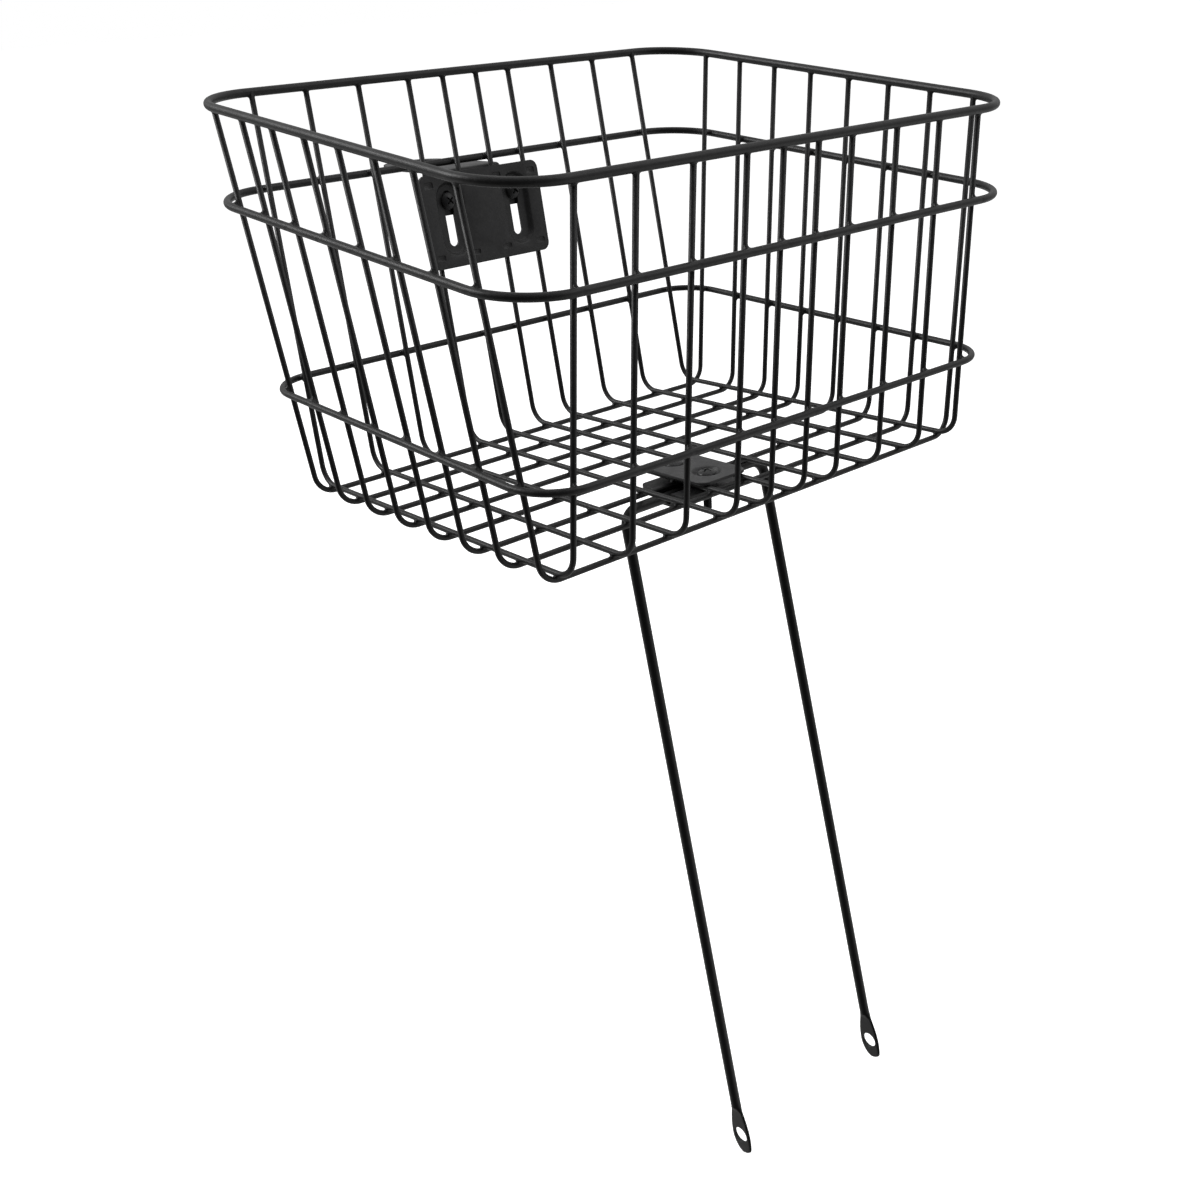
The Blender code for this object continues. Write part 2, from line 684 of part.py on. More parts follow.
def add_leg(word, outward, leg_size, material, parent):
    """Bent rod leg, turned about its arm, with a hole for the hub axle in its eye."""
    arm_y, knee_x, eye_x, tilt = leg_size
    bm = bmesh.new()
    sections = leg_sections(outward, knee_x, eye_x)
    loops = [[bm.verts.new(point) for point in verts] for verts in sections]
    for upper, lower in zip(loops, loops[1:]):
        bridge(bm, upper, lower)
    bm.faces.new(loops[0])
    bm.faces.new(loops[-1])
    name = f"{word}_leg"
    leg = add_object(name, mesh_from(bm, name, True), material, parent, (0, CLAMP_Y + arm_y, ARM_Z))
    leg.rotation_euler.x = -tilt
    drill = turned_bmesh([(EYE_HOLE_R, 6 * MM), (EYE_HOLE_R, -6 * MM)], CIRCLE_STEPS)
    hole = Vector((outward * eye_x, 0, -LEG_LENGTH))
    for vert in drill.verts:
        x, y, z = vert.co
        vert.co = hole + Vector((z, y, x))
    cut(leg, drill, f"{word}_axle_drill", parent)


def build():
    """Build every node of the basket."""
    clear_scene()
    wire_coat = coat("wire_coat", (0.012, 0.012, 0.013), 0.38, 0.0)
    plate_coat = coat("plate_coat", (0.014, 0.014, 0.015), 0.45, 0.0)
    leg_coat = coat("leg_coat", (0.011, 0.011, 0.012), 0.36, 0.0)
    screw_black = coat("screw_black", (0.018, 0.018, 0.019), 0.35, 0.6)

    layout = add_empty("layout", (0, -STEERER_Y, -TONGUE_TOP_Z))
    wall = add_empty("back_wall", (0, FLOOR_BACK, 0), layout)
    wall.rotation_euler.x = math.pi / 2 - BACK_LEAN

    add_rim(wire_coat, layout)
    add_ring("middle_ring", MIDDLE_RING, MIDDLE_RING_R, wire_coat, layout)
    add_ring("lower_ring", LOWER_RING, LOWER_RING_R, wire_coat, layout)
    add_lengthwise_wires(wire_coat, layout)
    add_cross_wires(wire_coat, layout)

    add_stem_plate(plate_coat, wall)
    add_headset_bracket(plate_coat, layout)
    add_stem_fasteners(screw_black, wall)

    add_top_clamp_plate(plate_coat, layout)
    add_clamp_saddle(plate_coat, layout)
    add_clamp_fasteners(screw_black, layout)
    add_leg("left", -1, LEFT_LEG, leg_coat, layout)
    add_leg("right", 1, RIGHT_LEG, leg_coat, layout)


build()
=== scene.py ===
"""Looks of the wire handlebar basket: coated wires with weld fillets, pressed plates, screws and legs.

Lengths are in metres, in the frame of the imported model: +Z up, X across the bicycle and -Y towards
the front wheel. The basket's own layout has its lengthwise floor wires at z = 0 and the rim centred
on y = 0. LAYOUT carries it into the frame, and WALL does the same for the leaning back wall.
"""

import json
import math
import random

import bmesh
import bpy
from mathutils import Matrix, Vector


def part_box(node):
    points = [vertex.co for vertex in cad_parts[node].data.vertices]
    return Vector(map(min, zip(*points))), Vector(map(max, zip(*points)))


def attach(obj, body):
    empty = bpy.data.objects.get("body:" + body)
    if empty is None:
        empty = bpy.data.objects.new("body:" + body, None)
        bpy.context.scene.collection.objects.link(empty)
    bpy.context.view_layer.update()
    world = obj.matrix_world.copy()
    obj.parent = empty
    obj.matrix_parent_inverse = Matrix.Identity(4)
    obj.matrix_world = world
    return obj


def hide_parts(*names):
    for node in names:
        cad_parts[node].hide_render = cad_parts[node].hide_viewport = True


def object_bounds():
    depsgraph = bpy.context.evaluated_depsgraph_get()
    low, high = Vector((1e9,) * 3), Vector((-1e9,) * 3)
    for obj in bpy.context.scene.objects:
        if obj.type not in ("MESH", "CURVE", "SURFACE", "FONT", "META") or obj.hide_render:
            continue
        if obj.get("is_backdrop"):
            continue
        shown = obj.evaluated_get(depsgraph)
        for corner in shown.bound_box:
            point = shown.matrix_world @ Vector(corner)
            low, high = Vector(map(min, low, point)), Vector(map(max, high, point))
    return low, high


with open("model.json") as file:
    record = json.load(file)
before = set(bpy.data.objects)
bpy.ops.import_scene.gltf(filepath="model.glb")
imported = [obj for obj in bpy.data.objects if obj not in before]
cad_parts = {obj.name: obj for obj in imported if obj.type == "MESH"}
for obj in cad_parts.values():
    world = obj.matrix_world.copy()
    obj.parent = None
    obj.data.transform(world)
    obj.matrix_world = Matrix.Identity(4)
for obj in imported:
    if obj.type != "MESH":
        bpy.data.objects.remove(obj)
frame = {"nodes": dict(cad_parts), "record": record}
cad_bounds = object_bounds()

MM = 0.001
BODY_NODES = frame["record"]["behaviour"]["bodies"]
NODE_BODY = {node: body for body, nodes in BODY_NODES.items() for node in nodes}

# Wire, rod and sheet sizes
GAP = 0.3 * MM
MESH_WIRE_R = 1.55 * MM
RIM_WIRE_R = 2.3 * MM
MIDDLE_RING_R = 2.1 * MM
LOWER_RING_R = 1.9 * MM
LEG_ROD_R = 3.0 * MM
SHEET = 1.8 * MM
BRACKET_SHEET = 2.8 * MM

# The layout's place in the frame, and the rim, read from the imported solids
RIM_LOW, RIM_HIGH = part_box("top_rim")
FLOOR_WIRE_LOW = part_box("lengthwise_wire_05")[0]
LAYOUT = Vector((0, (RIM_LOW.y + RIM_HIGH.y) / 2, FLOOR_WIRE_LOW.z + MESH_WIRE_R))
RIM_HALF_X = (RIM_HIGH.x - RIM_LOW.x) / 2 - RIM_WIRE_R
RIM_HALF_Y = (RIM_HIGH.y - RIM_LOW.y) / 2 - RIM_WIRE_R
RIM_FRONT_Z = RIM_LOW.z - LAYOUT.z + RIM_WIRE_R
RIM_BACK_Z = RIM_HIGH.z - LAYOUT.z - RIM_WIRE_R

# The walls lean outwards from the floor's outline to the rim
FLOOR_HALF_X = 154.5 * MM
FLOOR_FRONT = 123.7 * MM
FLOOR_BACK = 109.7 * MM
FLOOR_CORNER_INSET = 1.8 * MM
RIM_CORNER_INSET = 0.9 * MM
CROSS_DROP = 2 * MESH_WIRE_R + GAP
WIRE_BEND_R = 12 * MM
RIM_CORNER_R = 36 * MM

# Rings outside the walls: (height at mid-depth, rise towards the back, corner radius)
MIDDLE_RING = (148.5 * MM, 0.107, 34 * MM)
LOWER_RING = (53.2 * MM, 0.058, 26 * MM)

# Stem plate and headset bracket, in heights up the back wall. A dent row is (height, half height),
# and a dent level is (how far its outline has drawn in, depth).
BACK_LEAN = math.atan2(RIM_HALF_Y - FLOOR_BACK, RIM_BACK_Z)
WALL_FOOT = Matrix.Translation(LAYOUT + Vector((0, FLOOR_BACK, 0)))
WALL = WALL_FOOT @ Matrix.Rotation(math.pi / 2 - BACK_LEAN, 4, "X")
STEM_PLATE_HALF_X = 44.0 * MM
STEM_PLATE_LOW = 103.8 * MM
STEM_PLATE_HIGH = 158.4 * MM
STEM_PLATE_CORNER_R = 5 * MM
RECESS_X = 24.3 * MM
RECESS_LOW = 110.3 * MM
RECESS_HIGH = 153.3 * MM
RECESS_R = 9.6 * MM
RECESS_FLOOR_Z = 0.5 * MM
RECESS_LIP = 0.6 * MM
RECESS_RUN = 2.8 * MM
PRESSED_STEP = 0.3 * MM
SLOT_R = 3.2 * MM
SLOT_LOW = 116.0 * MM
SLOT_HIGH = 148.4 * MM
STEM_SCREW_HEIGHT = 142.4 * MM
DENT_ROWS = ((STEM_PLATE_LOW + 6.6 * MM, 1.7 * MM), (STEM_PLATE_HIGH - 6.0 * MM, 2.0 * MM))
DENT_PLACES = (-37.9 * MM, -11.9 * MM, 11.9 * MM, 37.9 * MM)
DENT_HALF_X = 3.2 * MM
DENT_CORNER_R = 1.0 * MM
DENT_LEVELS = ((0, 0), (0.12 * MM, 0.32 * MM), (0.3 * MM, 0.5 * MM))
BRACKET_HALF_X = 34 * MM
BRACKET_LOW = 134.1 * MM
BRACKET_SHOULDER = 150 * MM
BRACKET_SHOULDER_RISE = 3 * MM
BRACKET_CORNER_R = 3 * MM
BRACKET_FACE = MESH_WIRE_R + GAP
BRACKET_BEND_R = 2.2 * MM
TONGUE_HALF_X = 20.5 * MM
TONGUE_TOP_Z = -LAYOUT.z
STEERER_Y = -LAYOUT.y
STEERER_HOLE_R = 14.5 * MM

# Fasteners; a head is (radius, height), and the drive's reach and depth are shares of them
SHAFT_R = 2.5 * MM
THREAD_PITCH = 0.8 * MM
SCREW_HOLE_R = 2.8 * MM
STEM_HEAD = (5.0 * MM, 3.2 * MM)
STEM_PLAIN_SHAFT = 4.0 * MM
STEM_SHAFT_PAST_NUT = 1.5 * MM
CLAMP_HEAD = (5.2 * MM, 3.2 * MM)
DRIVE_HALF_WIDTH = 0.55 * MM
DRIVE_REACH = 0.56
DRIVE_DEPTH = 0.62
CLAMP_PLAIN_SHAFT = 2.5 * MM
WASHER_R = 5.0 * MM
WASHER_H = 1.0 * MM
NUT_FLATS = 8.0 * MM
STEM_NUT_H = 4.0 * MM
STEM_NUT_HOLE_R = 2.6 * MM
WELD_NUT_H = 3.2 * MM
WELD_NUT_HOLE_R = 2.55 * MM

# Leg clamp and legs; a leg is (arm y from the clamp's middle, knee x, eye x, tilt)
CLAMP_Y = -49.6 * MM
CLAMP_SCREW_PITCH = 27 * MM
CLAMP_SCREW_END_Z = -18.5 * MM
CUP_R = 8.6 * MM
CUP_FLOOR_R = 6.4 * MM
CUP_DEPTH = 2.6 * MM
CUP_HOLE_R = 3.3 * MM
TOP_PLATE_CORNER_R = 6 * MM
SADDLE_HALF_X = 21.7 * MM
SADDLE_HALF_Y = 19.2 * MM
SADDLE_SHEET = 1.6 * MM
SADDLE_CORNER_R = 4.5 * MM
SADDLE_BEND_R = 1.2 * MM
ARM_Z = -(CROSS_DROP + MESH_WIRE_R + GAP + LEG_ROD_R)
ARM_SPACING = 2 * LEG_ROD_R + 0.4 * MM
ARM_OVERRUN = 24 * MM
LEFT_LEG = (-ARM_SPACING / 2, 52.8 * MM, 55.9 * MM, math.radians(11.1))
RIGHT_LEG = (ARM_SPACING / 2, 61.0 * MM, 63.9 * MM, math.radians(12.3))
LEG_LENGTH = 397 * MM
LEG_BEND_R = 9 * MM
EYE_HALF_WIDTH = 7.5 * MM
EYE_HALF_SHEET = 0.95 * MM
EYE_TIP = 13 * MM
EYE_END = EYE_TIP - 0.7 * MM
EYE_HOLE_R = 5.0 * MM
EYE_CHAMFER = 0.3 * MM
EYE_FLARE = 2.3 * MM
ARM_END_SHARE = 0.8
SADDLE_TOP_Z = -(CROSS_DROP + MESH_WIRE_R + GAP)
CHANNEL_FLOOR_Z = ARM_Z - LEG_ROD_R - GAP
CHANNEL_HALF_Y = ARM_SPACING / 2 + LEG_ROD_R + GAP

# Welds and the marks of the electrodes, with ranges in millimetres for the sizes left to chance
RIM_WELD_MM = (1.0, 1.7)
RING_WELD_MM = (1.1, 1.9)
FLOOR_WELD_MM = (0.6, 1.2)
MARK_DEPTH_MM = (0.12, 0.3)
MARK_R = 2.6 * MM
MARK_REACH = 3 * MM
MARK_OFFSETS = [step * 0.65 * MM for step in range(-4, 5)]

# Grey levels of the world, (place, level), from the near side to the far one and from below to above
WORLD_DEPTH = ((0.0, 0.06), (0.27, 0.09), (0.42, 0.62), (1.0, 0.72))
WORLD_HEIGHT = ((0.0, 0.55), (0.3, 0.95), (0.46, 0.5), (0.58, 0.75), (1.0, 1.0))

# Softboxes: (name, place, size, power, seen in reflections)
LIGHT_AIM = (0, -0.2, -0.1)
SOFTBOXES = (
    ("overhead", (-0.4, -0.6, 2.6), 2.4, 50, False),
    ("key", (1.0, -1.6, 1.5), 1.0, 3, True),
    ("back_left", (-1.9, 1.5, 1.6), 1.4, 38, True),
)

# Fineness of the meshes
WIRE_SIDES = 20
BEND_STEPS = 10
CORNER_STEPS = 20
LOOP_STEPS = 48
SHAFT_SIDES = 24
PRESSED_ROWS = 8
CUP_ROWS = 7
WELD_STEPS = 24
WELD_ARC_STEPS = 4

chance = random.Random(7)


def random_size(range_mm):
    """A length picked by chance from a range in millimetres."""
    return chance.uniform(*range_mm) * MM


# Materials


def set_inputs(node, **values):
    """Set the inputs of a shader node that are named."""
    for name, value in values.items():
        node.inputs[name.replace("_", " ")].default_value = value


def node_at(tree, kind, **values):
    """Add a shader node and set the inputs that are named."""
    node = tree.nodes.new(kind)
    set_inputs(node, **values)
    return node


def noise(tree, scale, detail, roughness=0.5):
    """Noise over the object's own coordinates; scale is features per metre."""
    place = tree.nodes.new("ShaderNodeTexCoord")
    pattern = node_at(tree, "ShaderNodeTexNoise", Scale=scale, Detail=detail, Roughness=roughness)
    tree.links.new(place.outputs["Object"], pattern.inputs["Vector"])
    return pattern.outputs["Fac"]


def remap(tree, value, low, high):
    """Stretch a 0.3 to 0.7 noise value over the range from low to high."""
    stretch = node_at(tree, "ShaderNodeMapRange", From_Min=0.3, From_Max=0.7, To_Min=low, To_Max=high)
    tree.links.new(value, stretch.inputs["Value"])
    return stretch.outputs["Result"]


def ramp(tree, value, stops, interpolation):
    """Colours over a value, from (position, colour) stops."""
    node = tree.nodes.new("ShaderNodeValToRGB")
    node.color_ramp.interpolation = interpolation
    while len(node.color_ramp.elements) < len(stops):
        node.color_ramp.elements.new(0.5)
    for element, (position, colour) in zip(node.color_ramp.elements, stops):
        element.position = position
        element.color = (*colour, 1)
    tree.links.new(value, node.inputs["Fac"])
    return node.outputs["Color"]


def bump(tree, height, distance, below=None):
    """A bump of the given depth in metres, on top of another bump if there is one."""
    relief = node_at(tree, "ShaderNodeBump", Strength=1.0, Distance=distance)
    tree.links.new(height, relief.inputs["Height"])
    if below is not None:
        tree.links.new(below, relief.inputs["Normal"])
    return relief.outputs["Normal"]


SLOT_MATERIALS = {}


def coat(slot, dark, light, rough, peel_depth, grain_depth, metallic=0.0):
    """Coated metal: soft orange peel, fine grain, and gloss and tone that vary over the surface."""
    material = bpy.data.materials.new(slot)
    SLOT_MATERIALS[slot] = material
    material.use_nodes = True
    tree = material.node_tree
    shader = tree.nodes["Principled BSDF"]
    set_inputs(shader, Metallic=metallic, IOR=1.5)
    tone = ramp(tree, noise(tree, 180, 6, 0.65), ((0.3, dark), (0.75, light)), "LINEAR")
    tree.links.new(tone, shader.inputs["Base Color"])
    blotches = remap(tree, noise(tree, 70, 5, 0.6), *rough)
    tree.links.new(blotches, shader.inputs["Roughness"])
    peel = bump(tree, noise(tree, 520, 2), peel_depth)
    relief = bump(tree, noise(tree, 2600, 3, 0.6), grain_depth, peel)
    tree.links.new(relief, shader.inputs["Normal"])


coat("wire_coat", (0.008, 0.008, 0.0083), (0.014, 0.014, 0.0145), (0.38, 0.50), 0.10 * MM, 0.03 * MM)
# The plates' coat is a lighter grey than the same black coat on the wires and legs: painted light for the
# light their broad flat faces catch. Its rougher gloss and coarser peel and grain are the plates' own.
coat("plate_coat", (0.023, 0.023, 0.0235), (0.036, 0.036, 0.037), (0.40, 0.55), 0.14 * MM, 0.05 * MM)
coat("leg_coat", (0.005, 0.005, 0.0052), (0.010, 0.010, 0.0103), (0.34, 0.46), 0.10 * MM, 0.03 * MM)
coat("screw_black", (0.018, 0.018, 0.019), (0.040, 0.040, 0.041), (0.28, 0.42), 0.03 * MM, 0.04 * MM, 0.3)


# Pieces


def piece(name, bm, slot, body, node=None, matrix=None):
    """Turn a bmesh into a piece that rides on a body and may stand for a CAD node."""
    bmesh.ops.recalc_face_normals(bm, faces=bm.faces[:])
    if bm.calc_volume(signed=True) < 0:
        bmesh.ops.reverse_faces(bm, faces=bm.faces[:])
    if matrix is not None:
        bm.transform(matrix)
    mesh = bpy.data.meshes.new(name)
    bm.to_mesh(mesh)
    bm.free()
    mesh.materials.append(SLOT_MATERIALS[slot])
    mesh.shade_smooth()
    thing = bpy.data.objects.new(name, mesh)
    bpy.context.scene.collection.objects.link(thing)
    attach(thing, body)
    if node is not None:
        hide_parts(node)
    return thing


def stand_for(node, bm, slot, matrix=None):
    """The fine piece that shows in place of one CAD node."""
    return piece(node + "_form", bm, slot, NODE_BODY[node], node, matrix)


def soften(thing, width, angle=50, segments=3):
    """Round the sharp edges of a piece and keep its flat faces flat."""
    bevel = thing.modifiers.new("soft_edges", "BEVEL")
    bevel.width = width
    bevel.segments = segments
    bevel.limit_method = "ANGLE"
    bevel.angle_limit = math.radians(angle)
    bevel.use_clamp_overlap = True
    bevel.harden_normals = True


def crease(thing, degrees):
    """Keep edges sharper than the angle crisp."""
    thing.data.set_sharp_from_angle(angle=math.radians(degrees))


def settle(thing, spare):
    """Apply a piece's modifiers and remove the cutters that they used."""
    graph = bpy.context.evaluated_depsgraph_get()
    mesh = bpy.data.meshes.new_from_object(thing.evaluated_get(graph))
    thing.modifiers.clear()
    thing.data = mesh
    for tool in spare:
        bpy.data.objects.remove(tool)


def cutter(name, bm):
    """A hidden solid that is cut out of a piece and then removed."""
    bmesh.ops.recalc_face_normals(bm, faces=bm.faces[:])
    mesh = bpy.data.meshes.new(name)
    bm.to_mesh(mesh)
    bm.free()
    thing = bpy.data.objects.new(name, mesh)
    thing.hide_render = True
    bpy.context.scene.collection.objects.link(thing)
    return thing


def cut(thing, *cutters):
    """Cut solids out of a piece."""
    for tool in cutters:
        modifier = thing.modifiers.new(tool.name, "BOOLEAN")
        modifier.operation = "DIFFERENCE"
        modifier.solver = "EXACT"
        modifier.object = tool
    settle(thing, cutters)


# Paths


def fillet(before, corner, after, radius, steps):
    """Points on the arc that rounds one corner of a path."""
    into = (before - corner).normalized()
    out = (after - corner).normalized()
    half_angle = into.angle(out) / 2
    reach = radius / math.tan(half_angle)
    centre = corner + (into + out).normalized() * radius / math.sin(half_angle)
    start = corner + into * reach - centre
    end = corner + out * reach - centre
    turn = start.angle(end)
    arc = []
    for step in range(steps + 1):
        share = step / steps
        weight_start = math.sin((1 - share) * turn) / math.sin(turn)
        weight_end = math.sin(share * turn) / math.sin(turn)
        arc.append(centre + start * weight_start + end * weight_end)
    return arc


def rounded_path(corners, radius, closed, steps):
    """A path through the corners with each inner corner rounded."""
    corners = [Vector(corner) for corner in corners]
    count = len(corners)
    points = []
    for index, corner in enumerate(corners):
        if not closed and index in (0, count - 1):
            points.append(corner)
            continue
        points.extend(fillet(corners[index - 1], corner, corners[(index + 1) % count], radius, steps))
    return points


def with_stations(points, marks, offsets):
    """A closed path with extra points at the offsets before and after each mark on it."""
    count = len(points)
    lengths = [0.0]
    for index in range(count):
        lengths.append(lengths[-1] + (points[(index + 1) % count] - points[index]).length)
    wanted = set()
    for mark in marks:
        best = None
        for index in range(count):
            start = points[index]
            run = points[(index + 1) % count] - start
            share = max(0.0, min(1.0, (mark - start).dot(run) / run.length_squared))
            away = (start + run * share - mark).length
            if best is None or away < best[0]:
                best = (away, lengths[index] + share * run.length)
        wanted.update(best[1] + offset for offset in offsets)
    path = []
    for index in range(count):
        start = points[index]
        run = points[(index + 1) % count] - start
        path.append(start)
        inside = sorted(w for w in wanted if lengths[index] + 0.1 * MM < w < lengths[index + 1] - 0.1 * MM)
        path.extend(start + run * (w - lengths[index]) / run.length for w in inside)
    return path


def stations(points, closed, start_normal):
    """Each point of a path with its tangent and a normal that doesn't twist."""
    count = len(points)
    normal = Vector(start_normal)
    for index, point in enumerate(points):
        tangent = Vector((0, 0, 0))
        if closed or index:
            tangent += (point - points[index - 1]).normalized()
        if closed or index < count - 1:
            tangent += (points[(index + 1) % count] - point).normalized()
        tangent.normalize()
        normal = (normal - tangent * normal.dot(tangent)).normalized()
        yield point, tangent, normal


# Meshes of tubes and turned shapes


def full_turn(count, offset=0.0):
    """Even angles round a full turn."""
    return [2 * math.pi * (step + offset) / count for step in range(count)]


def loop_of(bm, points):
    """Vertices at the points."""
    return [bm.verts.new(point) for point in points]


def bridge(bm, first, second):
    """Quads between two loops that have the same number of vertices."""
    for index in range(len(first)):
        bm.faces.new((first[index - 1], first[index], second[index], second[index - 1]))


def skin(loops, closed):
    """A tube through the loops, closed on itself or with a face over each end."""
    bm = bmesh.new()
    rings = [loop_of(bm, loop) for loop in loops]
    for first, second in zip(rings, rings[1:]):
        bridge(bm, first, second)
    if closed:
        bridge(bm, rings[-1], rings[0])
    else:
        bm.faces.new(rings[0])
        bm.faces.new(rings[-1])
    return bm


def pressed(surface, point, radius, marks):
    """A point of a ring's surface, flattened where a welding electrode pressed on it."""
    for centre, outward, depth in marks:
        away = (point - centre).length / MARK_R
        if away < 1:
            limit = radius - depth * (1 - away * away) ** 2
            over = surface.dot(outward) - limit
            if over > 0:
                surface = surface - outward * over
    return surface


def tube(points, radius, closed, start_normal, marks=()):
    """A round wire along the points, with flat marks where it was welded."""
    loops = []
    for point, tangent, normal in stations(points, closed, start_normal):
        side = tangent.cross(normal)
        near = [mark for mark in marks if (mark[0] - point).length < MARK_REACH]
        loop = []
        for angle in full_turn(WIRE_SIDES):
            surface = (normal * math.cos(angle) + side * math.sin(angle)) * radius
            loop.append(point + pressed(surface, point, radius, near))
        loops.append(loop)
    return skin(loops, closed)


def level_circle(radius, z, sides=LOOP_STEPS):
    """Points of a circle round Z."""
    return [(radius * math.cos(angle), radius * math.sin(angle), z) for angle in full_turn(sides)]


def turned(profile, closed):
    """A solid of revolution about Z from (radius, z) points, with a hole through it if closed."""
    return skin([level_circle(radius, z) for radius, z in profile], closed)


def smooth(share):
    """S-curve from 0 to 1."""
    return share * share * (3 - 2 * share)


# Flat outlines


def rounded_rectangle(x, y, half_x, half_y, radius, steps=8):
    """Outline of a rectangle with rounded corners."""
    corners = [(x + sx * half_x, y + sy * half_y, 0) for sx, sy in ((1, 1), (-1, 1), (-1, -1), (1, -1))]
    return [(point.x, point.y) for point in rounded_path(corners, radius, True, steps)]


def obround(x, low_y, high_y, radius):
    """Outline of a slot with round ends, or of a circle when its ends meet."""
    outline = []
    for angle in full_turn(LOOP_STEPS, 0.5):
        end_y = high_y - radius if math.sin(angle) > 0 else low_y + radius
        outline.append((x + radius * math.cos(angle), end_y + radius * math.sin(angle)))
    return outline


def circle(x, y, radius):
    """Outline of a circle."""
    return obround(x, y - radius, y + radius, radius)


def sheet(outline, holes, dents, low_z, high_z):
    """A flat sheet. Holes are chains of (outline, z) from the top face to the bottom one, and
    dents are chains from the top face to their own floor."""
    bm = bmesh.new()

    def ring(points, z):
        """A loop at one height, and the edges round it."""
        verts = loop_of(bm, [(x, y, z) for x, y in points])
        return verts, [bm.edges.new((verts[i - 1], verts[i])) for i in range(len(verts))]

    top, top_edges = ring(outline, high_z)
    bottom, bottom_edges = ring(outline, low_z)
    bridge(bm, top, bottom)
    for chain in holes + dents:
        rings = [ring(points, z) for points, z in chain]
        for first, second in zip(rings, rings[1:]):
            bridge(bm, first[0], second[0])
        top_edges += rings[0][1]
        if chain in holes:
            bottom_edges += rings[-1][1]
        else:
            bm.faces.new(rings[-1][0])
    bmesh.ops.triangle_fill(bm, use_beauty=True, edges=top_edges)
    bmesh.ops.triangle_fill(bm, use_beauty=True, edges=bottom_edges)
    return bm


# The welded wire basket


def rim_z(y):
    """Height of the sloping rim's centre line above the floor wires."""
    return RIM_FRONT_Z + (RIM_BACK_Z - RIM_FRONT_Z) * (y + RIM_HALF_Y) / (2 * RIM_HALF_Y)


def ring_corner(height, rise, wire_r, floor_y, rim_y):
    """Corner of a ring that runs outside the wires of one wall, (half x, y, z)."""
    outward = math.copysign(MESH_WIRE_R + wire_r + 1.3 * GAP, rim_y)
    y = floor_y
    for _ in range(4):
        share = (height + rise * y) / rim_z(rim_y)
        y = floor_y + (rim_y - floor_y) * share + outward
    half_x = FLOOR_HALF_X + (RIM_HALF_X - FLOOR_HALF_X) * share + abs(outward)
    return half_x, y, height + rise * y


def rim_path():
    """Centre line of the top rim."""
    corners = []
    for side_x, side_y in ((1, 1), (-1, 1), (-1, -1), (1, -1)):
        y = side_y * RIM_HALF_Y
        corners.append(LAYOUT + Vector((side_x * RIM_HALF_X, y, rim_z(y))))
    return rounded_path(corners, RIM_CORNER_R, True, CORNER_STEPS)


def ring_path(ring, wire_r):
    """Centre line of an outer ring."""
    height, rise, corner_r = ring
    front = Vector(ring_corner(height, rise, wire_r, -FLOOR_FRONT, -RIM_HALF_Y))
    back = Vector(ring_corner(height, rise, wire_r, FLOOR_BACK, RIM_HALF_Y))
    mirror = Vector((-1, 1, 1))
    corners = [LAYOUT + corner for corner in (back, back * mirror, front * mirror, front)]
    return rounded_path(corners, corner_r, True, CORNER_STEPS)


def insets(node, ends):
    """How far the outermost wires of a set stand in, at the floor and at the rim."""
    if node in ends:
        return FLOOR_CORNER_INSET, RIM_CORNER_INSET
    return 0.0, 0.0


def lengthwise_corners(node):
    """Front top, front floor, back floor and back top of a wire, from its CAD box."""
    low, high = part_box(node)
    side = 1 if high.x > 0 and abs(high.x) > abs(low.x) else -1
    rim_x = side * (min(abs(low.x), abs(high.x)) + MESH_WIRE_R)
    floor_x = side * (max(abs(low.x), abs(high.x)) - MESH_WIRE_R)
    floor_in, rim_in = insets(node, ("lengthwise_wire_01", "lengthwise_wire_10"))
    return [
        (rim_x, -RIM_HALF_Y + rim_in, rim_z(-RIM_HALF_Y)),
        (floor_x, -FLOOR_FRONT + floor_in, 0),
        (floor_x, FLOOR_BACK - floor_in, 0),
        (rim_x, RIM_HALF_Y - rim_in, rim_z(RIM_HALF_Y)),
    ]


def cross_corners(node):
    """Left top, left floor, right floor and right top of a wire, from its CAD box."""
    low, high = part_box(node)
    floor_y = low.y + MESH_WIRE_R - LAYOUT.y
    rim_y = high.y - MESH_WIRE_R - LAYOUT.y
    floor_in, rim_in = insets(node, ("cross_wire_1", "cross_wire_8"))
    return [
        (-RIM_HALF_X + rim_in, rim_y, rim_z(rim_y)),
        (-FLOOR_HALF_X + floor_in, floor_y, -CROSS_DROP),
        (FLOOR_HALF_X - floor_in, floor_y, -CROSS_DROP),
        (RIM_HALF_X - rim_in, rim_y, rim_z(rim_y)),
    ]


def mesh_wire_path(corners):
    """Centre line of a U-wire whose ends run up into the rim."""
    places = [LAYOUT + Vector(corner) for corner in corners]
    return rounded_path(places, WIRE_BEND_R, False, BEND_STEPS)


def closest(first, second):
    """How near two paths come, their nearest points, and the directions of the paths there."""
    best = None
    for a0, a1 in zip(first, first[1:]):
        a = a1 - a0
        for b0, b1 in zip(second, second[1:]):
            b = b1 - b0
            aa, ab, bb = a.dot(a), a.dot(b), b.dot(b)
            gap = a0 - b0
            flat = max(aa * bb - ab * ab, 1e-18)
            s = max(0.0, min(1.0, (ab * b.dot(gap) - bb * a.dot(gap)) / flat))
            t = max(0.0, min(1.0, (ab * s + b.dot(gap)) / bb))
            s = max(0.0, min(1.0, (ab * t - a.dot(gap)) / aa))
            away = (a0 + a * s - b0 - b * t).length
            if best is None or away < best[0]:
                best = (away, a0 + a * s, b0 + b * t, a.normalized(), b.normalized())
    return best


# Weld fillets: the surface left by a ball that rolls round the joint and touches both wires


